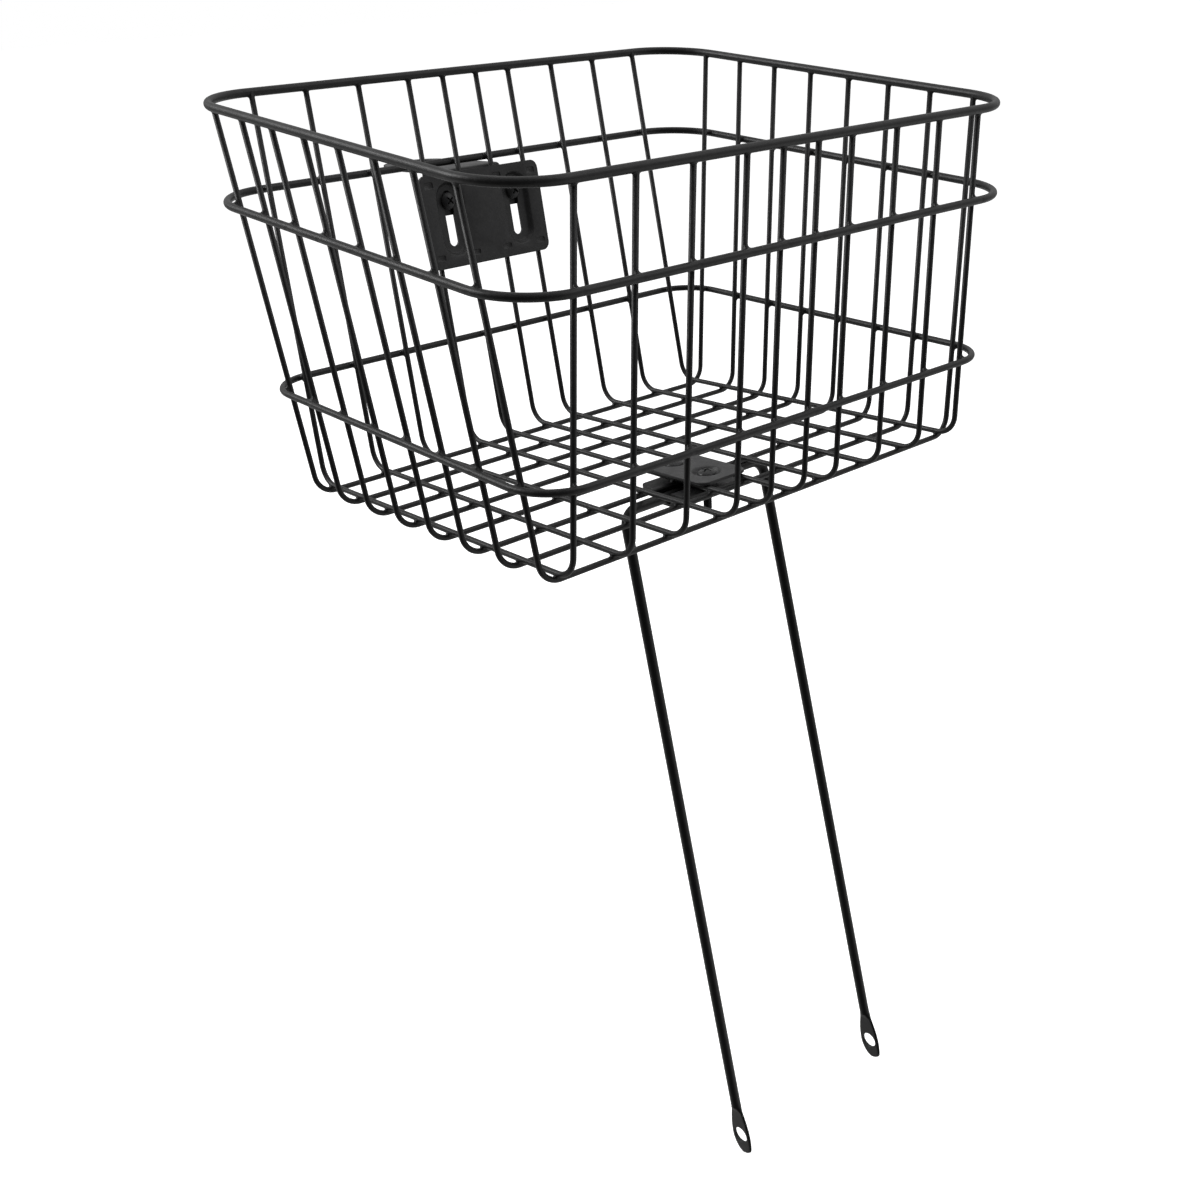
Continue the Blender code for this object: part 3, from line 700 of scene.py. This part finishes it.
def weld_band(bm, balls, ball_r, first_core, second_core):
    """One weld from (ball centre, unit direction to wire A, unit direction to wire B) stations."""
    rows = [[] for _ in range(WELD_ARC_STEPS + 1)]
    for centre, to_first, to_second in balls:
        turn = to_first.angle(to_second)
        for row, loop in enumerate(rows):
            share = row / WELD_ARC_STEPS
            if turn < 0.02:
                direction = to_first
            else:
                direction = to_first * math.sin((1 - share) * turn) + to_second * math.sin(share * turn)
                direction = direction / math.sin(turn)
            loop.append(centre + direction * ball_r)
    rings = [loop_of(bm, loop) for loop in rows]
    for first, second in zip(rings, rings[1:]):
        bridge(bm, first, second)
    for ring, core in ((rings[0], first_core), (rings[-1], second_core)):
        middle = bm.verts.new(core)
        for index in range(len(ring)):
            bm.faces.new((ring[index - 1], ring[index], middle))


def crossing_weld(bm, first, second, first_r, second_r, ball_r):
    """The weld where one wire passes over another; first and second are centre lines."""
    away, on_first, on_second, a, b = closest(first, second)
    up = (on_first - on_second).normalized()
    a = (a - up * a.dot(up)).normalized()
    b = (b - up * b.dot(up)).normalized()
    middle = (on_first + on_second) / 2
    half = away / 2
    reach_a = first_r + ball_r
    reach_b = second_r + ball_r
    across = up.cross(a)
    balls = []
    for angle in full_turn(WELD_STEPS):
        g = a * math.cos(angle) + across * math.sin(angle)
        off_a = 1 - g.dot(a) ** 2
        off_b = 1 - g.dot(b) ** 2
        c0 = off_b * (reach_a ** 2 - half ** 2) - off_a * (reach_b ** 2 - half ** 2)
        c1 = 2 * half * (off_a + off_b)
        root = math.sqrt(max(c1 * c1 - 4 * (off_a - off_b) * c0, 0.0))
        height = -2 * c0 / (c1 + root)
        if off_b > off_a:
            spread = math.sqrt(max(reach_b ** 2 - (height + half) ** 2, 0.0) / off_b)
        else:
            spread = math.sqrt(max(reach_a ** 2 - (height - half) ** 2, 0.0) / off_a)
        centre = middle + g * spread + up * height
        foot_a = on_first + a * (centre - on_first).dot(a)
        foot_b = on_second + b * (centre - on_second).dot(b)
        balls.append((centre, (foot_a - centre).normalized(), (foot_b - centre).normalized()))
    weld_band(bm, balls, ball_r, on_first, on_second)
    return on_second, -up


def butt_weld(bm, wire, rim, ball_r):
    """The weld where a mesh wire's end meets the rim; wire runs from the rim downwards."""
    a = (wire[1] - wire[0]).normalized()
    _, on_wire, on_rim, _, b = closest(wire[:2], rim)
    start = a.orthogonal().normalized()
    side = a.cross(start)
    balls = []
    for angle in full_turn(WELD_STEPS):
        out = start * math.cos(angle) + side * math.sin(angle)
        base = on_wire + out * (MESH_WIRE_R + ball_r) - on_rim
        q0 = base - b * base.dot(b)
        q1 = a - b * a.dot(b)
        lead = q0.dot(q1)
        inside = lead * lead - q1.dot(q1) * (q0.dot(q0) - (RIM_WIRE_R + ball_r) ** 2)
        along = (-lead + math.sqrt(max(inside, 0.0))) / q1.dot(q1)
        centre = on_rim + base + a * along
        foot = on_rim + b * (centre - on_rim).dot(b)
        balls.append((centre, -out, (foot - centre).normalized()))
    weld_band(bm, balls, ball_r, on_wire + a * RIM_WIRE_R * 2, on_rim)


def straight_legs(path):
    """The two straight walls of a U-wire, each with part of its bend."""
    return path[:2 + BEND_STEPS // 3], path[-2 - BEND_STEPS // 3:]


def build_mesh_wires(first_word, corners_of):
    """One set of U-wires; returns their centre lines."""
    paths = []
    for node in sorted(frame["nodes"]):
        if node.startswith(first_word):
            path = mesh_wire_path(corners_of(node))
            stand_for(node, tube(path, MESH_WIRE_R, False, (1, 0.3, 0)), "wire_coat")
            paths.append(path)
    return paths


def plane_normal(path):
    """A normal of a closed path's plane to start its tube with."""
    return (path[1] - path[0]).cross(path[CORNER_STEPS + 1] - path[0])


def build_rim(wires):
    """The top rim, and the welds where every wire's ends meet it."""
    path = rim_path()
    closed_path = path + path[:1]
    welds = bmesh.new()
    for wire in wires:
        for end in (wire, wire[::-1]):
            butt_weld(welds, end, closed_path, random_size(RIM_WELD_MM))
    piece("rim_welds", welds, "wire_coat", "basket")
    stand_for("top_rim", tube(path, RIM_WIRE_R, True, plane_normal(path)), "wire_coat")


def build_ring(node, ring, wire_r, wires):
    """An outer ring, its welds to the wires, and the flat marks left on it by the welding."""
    path = ring_path(ring, wire_r)
    closed_path = path + path[:1]
    welds = bmesh.new()
    marks = []
    for wire in wires:
        for leg in straight_legs(wire):
            ball_r = random_size(RING_WELD_MM)
            place, outward = crossing_weld(welds, leg, closed_path, MESH_WIRE_R, wire_r, ball_r)
            marks.append((place, outward, random_size(MARK_DEPTH_MM)))
    piece(node + "_welds", welds, "wire_coat", "basket")
    fine = with_stations(path, [mark[0] for mark in marks], MARK_OFFSETS)
    stand_for(node, tube(fine, wire_r, True, plane_normal(path), marks), "wire_coat")


def build_floor_welds(lengthwise, crosswise):
    """The welds where the two sets of wires cross in the floor."""
    welds = bmesh.new()
    floor = slice(BEND_STEPS // 2, -BEND_STEPS // 2)
    for over in lengthwise:
        for under in crosswise:
            ball_r = random_size(FLOOR_WELD_MM)
            crossing_weld(welds, over[floor], under[floor], MESH_WIRE_R, MESH_WIRE_R, ball_r)
    piece("floor_welds", welds, "wire_coat", "basket")


def build_basket():
    """Every wire, ring and rim of the basket, and the welds that join them."""
    lengthwise = build_mesh_wires("lengthwise_wire", lengthwise_corners)
    crosswise = build_mesh_wires("cross_wire", cross_corners)
    wires = lengthwise + crosswise
    build_rim(wires)
    build_ring("middle_ring", MIDDLE_RING, MIDDLE_RING_R, wires)
    build_ring("lower_ring", LOWER_RING, LOWER_RING_R, wires)
    build_floor_welds(lengthwise, crosswise)


# Stem plate and headset bracket


def recess_outline(x, radius):
    """Outline of a pressed recess at one level; its ends draw in with its radius."""
    shrink = RECESS_R - radius
    return obround(x, RECESS_LOW + shrink, RECESS_HIGH - shrink, radius)


def recess_chain(x, back, front):
    """Outlines down a recess's soft wall, through its slot and back up behind the sheet."""
    depth = front - RECESS_FLOOR_Z
    front_r = RECESS_R + RECESS_LIP
    back_r = front_r + PRESSED_STEP
    slot = obround(x, SLOT_LOW, SLOT_HIGH, SLOT_R)
    shares = [row / PRESSED_ROWS for row in range(PRESSED_ROWS + 1)]
    chain = [(recess_outline(x, front_r - RECESS_RUN * s), front - depth * smooth(s)) for s in shares]
    chain += [(slot, RECESS_FLOOR_Z), (slot, RECESS_FLOOR_Z - SHEET)]
    for s in reversed(shares):
        chain.append((recess_outline(x, back_r - RECESS_RUN * s), back - depth * smooth(s)))
    return chain


def dent_chain(x, y, half_y, front):
    """Outlines from the sheet's face to the floor of one small dent."""
    chain = []
    for inset, depth in DENT_LEVELS:
        outline = rounded_rectangle(x, y, DENT_HALF_X - inset, half_y - inset, DENT_CORNER_R - inset, 3)
        chain.append((outline, front - depth))
    return chain


def build_stem_plate():
    """Sheet inside the back wall: soft pressed recesses with slots, and rows of shallow dents."""
    back = MESH_WIRE_R + GAP
    front = back + SHEET
    holes = [recess_chain(side * RECESS_X, back, front) for side in (-1, 1)]
    dents = [dent_chain(x, y, half_y, front) for y, half_y in DENT_ROWS for x in DENT_PLACES]
    middle_y = (STEM_PLATE_LOW + STEM_PLATE_HIGH) / 2
    half_y = (STEM_PLATE_HIGH - STEM_PLATE_LOW) / 2
    outline = rounded_rectangle(0, middle_y, STEM_PLATE_HALF_X, half_y, STEM_PLATE_CORNER_R)
    bm = sheet(outline, holes, dents, back, front)
    soften(stand_for("stem_plate", bm, "plate_coat", WALL), 0.4 * MM, 60)


def bracket_bend():
    """Where the bend starts and ends in the flat pattern, measured on the outer face."""
    outer_r = BRACKET_BEND_R + BRACKET_SHEET
    rise = TONGUE_TOP_Z - outer_r + (BRACKET_FACE + outer_r) * math.sin(BACK_LEAN)
    start = rise / math.cos(BACK_LEAN)
    return start, start + outer_r * (math.pi / 2 - BACK_LEAN)


def bracket_position(x, length, depth):
    """Place a point of the bracket's flat pattern: up the wall, round the bend, along the tongue."""
    up = Vector((0, math.sin(BACK_LEAN), math.cos(BACK_LEAN)))
    rear = Vector((0, math.cos(BACK_LEAN), -math.sin(BACK_LEAN)))
    outer_r = BRACKET_BEND_R + BRACKET_SHEET
    bend_start, bend_end = bracket_bend()
    base = LAYOUT + Vector((x, FLOOR_BACK, 0)) + rear * BRACKET_FACE
    if length <= bend_start:
        return base + up * length + rear * depth
    centre = base + up * bend_start + rear * outer_r
    turn = min(length - bend_start, bend_end - bend_start) / outer_r
    radial = up * math.sin(turn) - rear * math.cos(turn)
    along = up * math.cos(turn) + rear * math.sin(turn)
    return centre + radial * (outer_r - depth) + along * max(length - bend_end, 0)


def bracket_outline(tongue_length):
    """Flat pattern: a wide plate, two shoulders and a tongue with a round end."""
    corners = [
        (0, BRACKET_LOW, 0),
        (BRACKET_HALF_X, BRACKET_LOW, 0),
        (BRACKET_HALF_X, BRACKET_SHOULDER, 0),
        (TONGUE_HALF_X, BRACKET_SHOULDER + BRACKET_SHOULDER_RISE, 0),
        (TONGUE_HALF_X, tongue_length, 0),
    ]
    right = [(point.x, point.y) for point in rounded_path(corners, BRACKET_CORNER_R, False, 8)[1:-1]]
    tip = []
    for angle in full_turn(LOOP_STEPS)[:LOOP_STEPS // 2 + 1]:
        tip.append((TONGUE_HALF_X * math.cos(angle), tongue_length + TONGUE_HALF_X * math.sin(angle)))
    return right + tip + [(-x, y) for x, y in reversed(right)]


def build_headset_bracket():
    """Thick sheet behind the wires, bent into a tongue with the steerer hole."""
    bend_start, bend_end = bracket_bend()
    hole_length = bend_end + STEERER_Y - (bracket_position(0, bend_end, 0).y - LAYOUT.y)
    circles = [circle(0, hole_length, STEERER_HOLE_R)]
    circles += [circle(side * RECESS_X, STEM_SCREW_HEIGHT, SCREW_HOLE_R) for side in (-1, 1)]
    holes = [[(outline, 0), (outline, BRACKET_SHEET)] for outline in circles]
    bm = sheet(bracket_outline(hole_length), holes, [], BRACKET_SHEET, 0)
    for step in range(BEND_STEPS + 1):
        line = bend_start + (bend_end - bend_start) * step / BEND_STEPS
        geometry = bm.verts[:] + bm.edges[:] + bm.faces[:]
        bmesh.ops.bisect_plane(bm, geom=geometry, plane_co=(0, line, 0), plane_no=(0, 1, 0))
    for vert in bm.verts:
        vert.co = bracket_position(*vert.co)
    soften(stand_for("headset_bracket", bm, "plate_coat"), 0.5 * MM, 60)


# Fasteners


def thread_profile(turns):
    """Depth share of a V thread at a place along it, counted in turns."""
    share = turns % 1.0
    return 1 - abs(2 * share - 1)


def threaded_shaft(length, plain):
    """Loops of a shaft from z = 0 down: plain first, then a V thread, then a chamfered tip."""
    depth = 0.55 * THREAD_PITCH
    rows_per_turn = 6
    tip_rows = 5
    tip_draw = 0.22
    step_z = THREAD_PITCH / rows_per_turn
    rows = int((length - plain) / step_z)
    loops = [level_circle(SHAFT_R, 0, SHAFT_SIDES)]
    for row in range(rows + 1):
        z = -plain - row * step_z
        fade = min(1.0, row / rows_per_turn)
        tip = max(0.0, 1 - (rows - row) / tip_rows)
        loop = []
        for angle in full_turn(SHAFT_SIDES):
            cut_in = depth * thread_profile(z / THREAD_PITCH + angle / (2 * math.pi)) * fade
            reach = min(SHAFT_R - cut_in, SHAFT_R * (1 - tip_draw * tip))
            loop.append((reach * math.cos(angle), reach * math.sin(angle), z))
        loops.append(loop)
    return loops


def pan_head_screw(head_r, head_h, length, plain):
    """Pan-head screw along Z with a threaded shaft, its head's underside at z = 0."""
    edge_h = 0.32 * head_h
    crown_r = 0.3 * MM
    profile = []
    for step in range(9):
        angle = math.pi / 2 * step / 8
        radius = max(head_r * math.sin(angle), crown_r)
        profile.append((radius, edge_h + (head_h - edge_h) * math.cos(angle) ** 1.3))
    profile += [(head_r, 0.4 * MM), (head_r - 0.3 * MM, 0)]
    head = [level_circle(radius, z, SHAFT_SIDES) for radius, z in profile]
    return skin(head + threaded_shaft(length, plain), False)


def cross_recess(half_width, reach, depth, top_z):
    """Tapered cross-shaped cutter for a screw's drive recess."""
    def outline(arm, width, z):
        """A cross of four arms at one height."""
        quarter = [(arm, -width), (arm, width), (width, width)]
        points = []
        for turn in range(4):
            for x, y in quarter:
                for _ in range(turn):
                    x, y = -y, x
                points.append((x, y, z))
        return points
    levels = [
        outline(reach, half_width, top_z + 1 * MM),
        outline(reach, half_width, top_z - 0.4 * MM),
        outline(0.55 * reach, 0.8 * half_width, top_z - depth),
    ]
    return skin(levels, False)


def hex_nut(across_flats, height, hole_r):
    """Hexagon nut along Z with chamfered corners, its lower face at z = 0."""
    apothem = across_flats / 2
    start_r = 0.96 * apothem
    chamfer = math.tan(math.radians(30))
    rows = [("hole", 0.0), ("hole", height), ("flat", height)]
    rows += [("corner", height), ("corner", 0.0), ("flat", 0.0)]
    loops = []
    for kind, z in rows:
        loop = []
        for angle in full_turn(LOOP_STEPS):
            within = (angle + math.pi / 6) % (math.pi / 3) - math.pi / 6
            corner_r = apothem / math.cos(within)
            reach = {"hole": hole_r, "flat": start_r, "corner": corner_r}[kind]
            drop = max(corner_r - start_r, 0) * chamfer if kind == "corner" else 0
            loop.append((reach * math.cos(angle), reach * math.sin(angle), z - drop if z else z + drop))
        loops.append(loop)
    return skin(loops, True)


def ring_washer(outer_r, hole_r, height):
    """Flat washer along Z with rounded edges, its lower face at z = 0."""
    soft = 0.2 * MM
    profile = [
        (hole_r, 0), (hole_r, height), (outer_r - soft, height), (outer_r, height - soft),
        (outer_r, soft), (outer_r - soft, 0),
    ]
    return turned(profile, True)


def build_screw(node, place, turn, head, length, plain):
    """A pan-head screw with its cross recess, turned by an angle about its own axis."""
    head_r, head_h = head
    screw = stand_for(node, pan_head_screw(head_r, head_h, length, plain), "screw_black", place)
    recess = cross_recess(DRIVE_HALF_WIDTH, DRIVE_REACH * head_r, DRIVE_DEPTH * head_h, head_h)
    recess.transform(place @ Matrix.Rotation(turn, 4, "Z"))
    cut(screw, cutter(node + "_recess", recess))
    crease(screw, 38)


def on_stem_slot(side, z):
    """Place on the axis of a stem screw, at a height above the wall's wires."""
    return WALL @ Matrix.Translation((side * RECESS_X, STEM_SCREW_HEIGHT, z))


def build_stem_fasteners():
    """Two screws through the slots, each with a washer and a nut behind the bracket."""
    head_z = RECESS_FLOOR_Z + GAP
    washer_z = -(BRACKET_FACE + BRACKET_SHEET) - GAP - WASHER_H
    nut_z = washer_z - GAP - STEM_NUT_H
    length = head_z - nut_z + STEM_SHAFT_PAST_NUT
    for side, word, turn in ((-1, "left", 0.72), (1, "right", 0.9)):
        place = on_stem_slot(side, head_z)
        build_screw(f"stem_screw_{word}", place, turn, STEM_HEAD, length, STEM_PLAIN_SHAFT)
        washer = ring_washer(WASHER_R, SCREW_HOLE_R, WASHER_H)
        washer = stand_for(f"stem_washer_{word}", washer, "screw_black", on_stem_slot(side, washer_z))
        crease(washer, 30)
        nut = hex_nut(NUT_FLATS, STEM_NUT_H, STEM_NUT_HOLE_R)
        crease(stand_for(f"stem_nut_{word}", nut, "screw_black", on_stem_slot(side, nut_z)), 25)


# Leg clamp


def cup_chain(y, back, front):
    """Outlines down a cup's soft wall, through its screw hole and back up under the sheet."""
    front_r = CUP_R + PRESSED_STEP
    back_r = front_r + PRESSED_STEP
    run = back_r - CUP_FLOOR_R
    hole = circle(0, y, CUP_HOLE_R)
    shares = [row / CUP_ROWS for row in range(CUP_ROWS + 1)]
    chain = [(circle(0, y, front_r - run * s), front - CUP_DEPTH * smooth(s)) for s in shares]
    chain += [(hole, front - CUP_DEPTH), (hole, back - CUP_DEPTH)]
    chain += [(circle(0, y, back_r - run * s), back - CUP_DEPTH * smooth(s)) for s in reversed(shares)]
    return chain


def build_top_clamp_plate():
    """Sheet on the floor wires with soft edges and two dished cups for the screw heads."""
    back = MESH_WIRE_R + GAP
    front = back + SHEET
    low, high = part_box("top_clamp_plate")
    middle = (low + high) / 2 - LAYOUT
    half = (high - low) / 2
    cups = [cup_chain(CLAMP_Y + side * CLAMP_SCREW_PITCH / 2, back, front) for side in (-1, 1)]
    outline = rounded_rectangle(0, middle.y, half.x, half.y, TOP_PLATE_CORNER_R)
    bm = sheet(outline, cups, [], back, front)
    plate = stand_for("top_clamp_plate", bm, "plate_coat", Matrix.Translation(LAYOUT))
    soften(plate, 0.7 * MM, 60)


def saddle_profile(half_y):
    """Section across the saddle: two flanges and a channel with rounded bends, (y, z) points."""
    top = SADDLE_TOP_Z
    floor = CHANNEL_FLOOR_Z
    inner = CHANNEL_HALF_Y
    outer = CHANNEL_HALF_Y + SADDLE_SHEET
    low_top = top - SADDLE_SHEET
    low_floor = floor - SADDLE_SHEET
    upper = [(0, half_y, top), (0, inner, top), (0, inner, floor)]
    upper += [(0, -y, z) for _, y, z in reversed(upper)]
    lower = [(0, -half_y, low_top), (0, -outer, low_top), (0, -outer, low_floor)]
    lower += [(0, -y, z) for _, y, z in reversed(lower)]
    points = []
    for corners in (upper, lower):
        points += [(point.y, point.z) for point in rounded_path(corners, SADDLE_BEND_R, False, 5)]
    return points


def build_clamp_saddle():
    """Pressed saddle under the floor: a channel for both leg arms between two screwed flanges."""
    ends = []
    steps = 8
    for step in range(steps + 1):
        angle = math.pi / 2 * step / steps
        inset_x = SADDLE_CORNER_R * (1 - math.sin(angle))
        inset_y = SADDLE_CORNER_R * (1 - math.cos(angle))
        ends.append((SADDLE_HALF_X - inset_x, SADDLE_HALF_Y - inset_y))
    places = sorted([(-x, half_y) for x, half_y in ends] + ends)
    loops = [[(x, y, z) for y, z in saddle_profile(half_y)] for x, half_y in places]
    place = Matrix.Translation(LAYOUT + Vector((0, CLAMP_Y, 0)))
    saddle = stand_for("lower_clamp_saddle", skin(loops, False), "plate_coat", place)
    tools = []
    drill_ends = ((SCREW_HOLE_R, SADDLE_TOP_Z - 6 * MM), (SCREW_HOLE_R, SADDLE_TOP_Z + 3 * MM))
    for side, word in ((-1, "front"), (1, "rear")):
        drill = turned(drill_ends, False)
        drill.transform(place @ Matrix.Translation((0, side * CLAMP_SCREW_PITCH / 2, 0)))
        tools.append(cutter(f"saddle_drill_{word}", drill))
    cut(saddle, *tools)
    soften(saddle, 0.35 * MM, 50, 2)


def build_clamp_fasteners():
    """Two screws through plate and saddle, their ends showing below, and the weld nuts."""
    head_z = MESH_WIRE_R + GAP + SHEET - CUP_DEPTH + GAP
    nut_z = SADDLE_TOP_Z - SADDLE_SHEET - GAP - WELD_NUT_H
    length = head_z - CLAMP_SCREW_END_Z
    for side, word, turn in ((-1, "front", 0.35), (1, "rear", 1.05)):
        spot = LAYOUT + Vector((0, CLAMP_Y + side * CLAMP_SCREW_PITCH / 2, 0))
        place = Matrix.Translation(spot + Vector((0, 0, head_z)))
        build_screw(f"clamp_screw_{word}", place, turn, CLAMP_HEAD, length, CLAMP_PLAIN_SHAFT)
        nut = hex_nut(NUT_FLATS, WELD_NUT_H, WELD_NUT_HOLE_R)
        place = Matrix.Translation(spot + Vector((0, 0, nut_z)))
        crease(stand_for(f"clamp_weld_nut_{word}", nut, "screw_black", place), 25)


# Legs


def rod_section(centre, side, across, half_side, widths, flatness):
    """One section of the rod, round at flatness 0 and flat-faced at 1; widths are for -Y and +Y."""
    loop = []
    for angle in full_turn(32, 0.5):
        reach = max(-1.0, min(1.0, (1 + 0.9 * flatness) * math.cos(angle)))
        sine = math.sin(angle)
        width = widths[1] if sine > 0 else widths[0]
        loop.append(centre + side * half_side * reach + across * width * sine)
    return loop


def eye_stations():
    """(offset below the hole centre, half thickness, (-Y width, +Y width), flatness) down the eye,
    whose end is nearly square on the -Y side and round on the +Y side."""
    rod = LEG_ROD_R
    full = EYE_HALF_WIDTH
    neck = [
        (-24, rod, rod, 0),
        (-21, rod, 1.01 * rod, 0),
        (-20.6, 0.97 * rod, 1.04 * rod, 0.1),
        (-17.2, 1.12 * EYE_HALF_SHEET, 0.58 * full, 0.95),
    ]
    for offset, share in ((-16.6, 0.61), (-12.5, 0.76), (-8.5, 0.88), (-4.5, 0.96)):
        neck.append((offset, EYE_HALF_SHEET, share * full, 1))
    rows = [(offset * MM, half_side, (width, width), flat) for offset, half_side, width, flat in neck]
    steps = 14
    least = 0.4 * MM
    for step in range(steps + 1):
        share = math.sin(math.pi / 2 * step / steps)
        squared = (1 - 0.21 * share ** 2) * (1 - share ** 14) ** 0.5
        rounded = (1 - share ** 2.2) ** 0.6
        widths = (max(full * squared, least), max(full * rounded, least))
        rows.append((share * EYE_END, EYE_HALF_SHEET, widths, 1))
    return rows


def build_leg(word, outward, size):
    """Bent rod, turned about its arm, ending in a flattened eye for the hub axle."""
    arm_y, knee_x, eye_x, tilt = size
    across = Vector((0, 1, 0))
    knee = Vector((outward * knee_x, 0, 0))
    foot = Vector((outward * eye_x, 0, -LEG_LENGTH))
    down = (foot - knee).normalized()
    start = Vector((-outward * ARM_OVERRUN, 0, 0))
    line = [start] + fillet(start, knee, foot, LEG_BEND_R, 16)
    loops = []
    for index, point in enumerate(line):
        after = line[index + 1] if index + 1 < len(line) else foot
        before = line[index - 1] if index else start
        along = ((after - point).normalized() + (point - before).normalized()).normalized()
        side = across.cross(along) * outward
        if index == 0:
            end_r = ARM_END_SHARE * LEG_ROD_R
            loops.append(rod_section(point, side, across, end_r, (end_r, end_r), 0))
            point = point + along * 0.6 * MM
        loops.append(rod_section(point, side, across, LEG_ROD_R, (LEG_ROD_R, LEG_ROD_R), 0))
    side = across.cross(down) * outward
    for offset, half_side, widths, flatness in eye_stations():
        loops.append(rod_section(foot + down * offset, side, across, half_side, widths, flatness))
    arm = LAYOUT + Vector((0, CLAMP_Y + arm_y, ARM_Z))
    place = Matrix.Translation(arm) @ Matrix.Rotation(-tilt, 4, "X")
    leg = stand_for(f"{word}_leg", skin(loops, False), "leg_coat", place)
    drill = turned([
        (EYE_HOLE_R + EYE_FLARE, 3 * MM),
        (EYE_HOLE_R, EYE_HALF_SHEET - EYE_CHAMFER),
        (EYE_HOLE_R, -EYE_HALF_SHEET + EYE_CHAMFER),
        (EYE_HOLE_R + EYE_FLARE, -3 * MM),
    ], False)
    drill.transform(place @ Matrix.Translation(foot) @ Matrix.Rotation(math.pi / 2, 4, "Y"))
    cut(leg, cutter(f"{word}_axle_drill", drill))
    crease(leg, 24)


# Stage


def build_floor():
    """Pale floor under the legs, faintly lit of itself; it throws nothing back on the object."""
    low_z = cad_bounds[0][2] - 1 * MM
    bpy.ops.mesh.primitive_plane_add(size=400, location=(0, 0, low_z))
    floor = bpy.context.object
    floor.name = "studio_floor"
    material = bpy.data.materials.new("studio_floor")
    material.use_nodes = True
    shader = material.node_tree.nodes["Principled BSDF"]
    set_inputs(shader, Base_Color=(0.9, 0.9, 0.9, 1), Roughness=0.9, Specular_IOR_Level=0.0)
    set_inputs(shader, Emission_Color=(1, 1, 1, 1), Emission_Strength=0.7)
    floor.data.materials.append(material)
    floor.visible_glossy = False
    floor.visible_diffuse = False
    floor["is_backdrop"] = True


def add_softbox(name, place, size, power, glossy):
    """A square area light aimed at the object; glossy says whether it shows in reflections."""
    light = bpy.data.lights.new(name, "AREA")
    light.shape = "SQUARE"
    light.size = size
    light.energy = power
    lamp = bpy.data.objects.new(name, light)
    lamp.location = place
    lamp.rotation_euler = (Vector(LIGHT_AIM) - Vector(place)).to_track_quat("-Z", "Y").to_euler()
    lamp.visible_glossy = glossy
    bpy.context.scene.collection.objects.link(lamp)


def grey_along(tree, direction, levels):
    """Grey levels over how far a ray points along a direction, from 0 against it to 1 with it."""
    place = tree.nodes.new("ShaderNodeTexCoord")
    dot = tree.nodes.new("ShaderNodeVectorMath")
    dot.operation = "DOT_PRODUCT"
    dot.inputs[1].default_value = direction
    tree.links.new(place.outputs["Generated"], dot.inputs[0])
    spread = node_at(tree, "ShaderNodeMapRange", From_Min=-1, From_Max=1)
    tree.links.new(dot.outputs["Value"], spread.inputs["Value"])
    stops = [(position, (level, level, level)) for position, level in levels]
    return ramp(tree, spread.outputs["Result"], stops, "EASE")


def build_world():
    """White to the camera. On the object it is bright from behind and from the right, dark from
    the near side, and a little dimmer round the horizon than above and below."""
    world = bpy.data.worlds.new("studio")
    bpy.context.scene.world = world
    world.use_nodes = True
    tree = world.node_tree
    background = tree.nodes["Background"]
    light = tree.nodes.new("ShaderNodeMix")
    light.data_type = "RGBA"
    light.blend_type = "MULTIPLY"
    light.inputs["Factor"].default_value = 1.0
    tree.links.new(grey_along(tree, (0.8, 0.55, -0.22), WORLD_DEPTH), light.inputs["A"])
    tree.links.new(grey_along(tree, (0, 0, 1), WORLD_HEIGHT), light.inputs["B"])
    path = tree.nodes.new("ShaderNodeLightPath")
    seen = tree.nodes.new("ShaderNodeMix")
    seen.data_type = "RGBA"
    seen.inputs["B"].default_value = (1, 1, 1, 1)
    tree.links.new(path.outputs["Is Camera Ray"], seen.inputs["Factor"])
    tree.links.new(light.outputs["Result"], seen.inputs["A"])
    tree.links.new(seen.outputs["Result"], background.inputs["Color"])
    background.inputs["Strength"].default_value = 1.0


def build_camera():
    """Camera in front of the basket, to its left and a little above it."""
    azimuth = math.radians(-38.83)
    elevation = math.radians(24.63)
    roll = math.radians(-4.28)
    distance = 845.6 * MM
    target = LAYOUT + Vector((-25.7, 0, -107.7)) * MM
    back = Vector((
        math.sin(azimuth) * math.cos(elevation),
        -math.cos(azimuth) * math.cos(elevation),
        math.sin(elevation),
    ))
    level_right = Vector((math.cos(azimuth), math.sin(azimuth), 0))
    level_up = back.cross(level_right)
    right = level_right * math.cos(roll) + level_up * math.sin(roll)
    up = level_up * math.cos(roll) - level_right * math.sin(roll)
    turn = Matrix((right, up, back)).transposed().to_4x4()
    lens = bpy.data.cameras.new("camera")
    lens.lens = 41.56
    lens.sensor_width = 36
    lens.shift_x = -0.0093
    lens.shift_y = 0.0299
    lens.clip_start = 0.01
    lens.clip_end = 200
    camera = bpy.data.objects.new("camera", lens)
    camera.matrix_world = Matrix.Translation(target + back * distance) @ turn
    bpy.context.scene.collection.objects.link(camera)
    bpy.context.scene.camera = camera


build_camera()
build_basket()
build_stem_plate()
build_headset_bracket()
build_stem_fasteners()
build_top_clamp_plate()
build_clamp_saddle()
build_clamp_fasteners()
build_leg("left", -1, LEFT_LEG)
build_leg("right", 1, RIGHT_LEG)

build_floor()
build_world()
for softbox in SOFTBOXES:
    add_softbox(*softbox)
bpy.context.scene.view_settings.view_transform = "Standard"

boxes = {"cad": cad_bounds, "visual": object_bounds()}
{name: [list(corner) for corner in box] for name, box in boxes.items()}
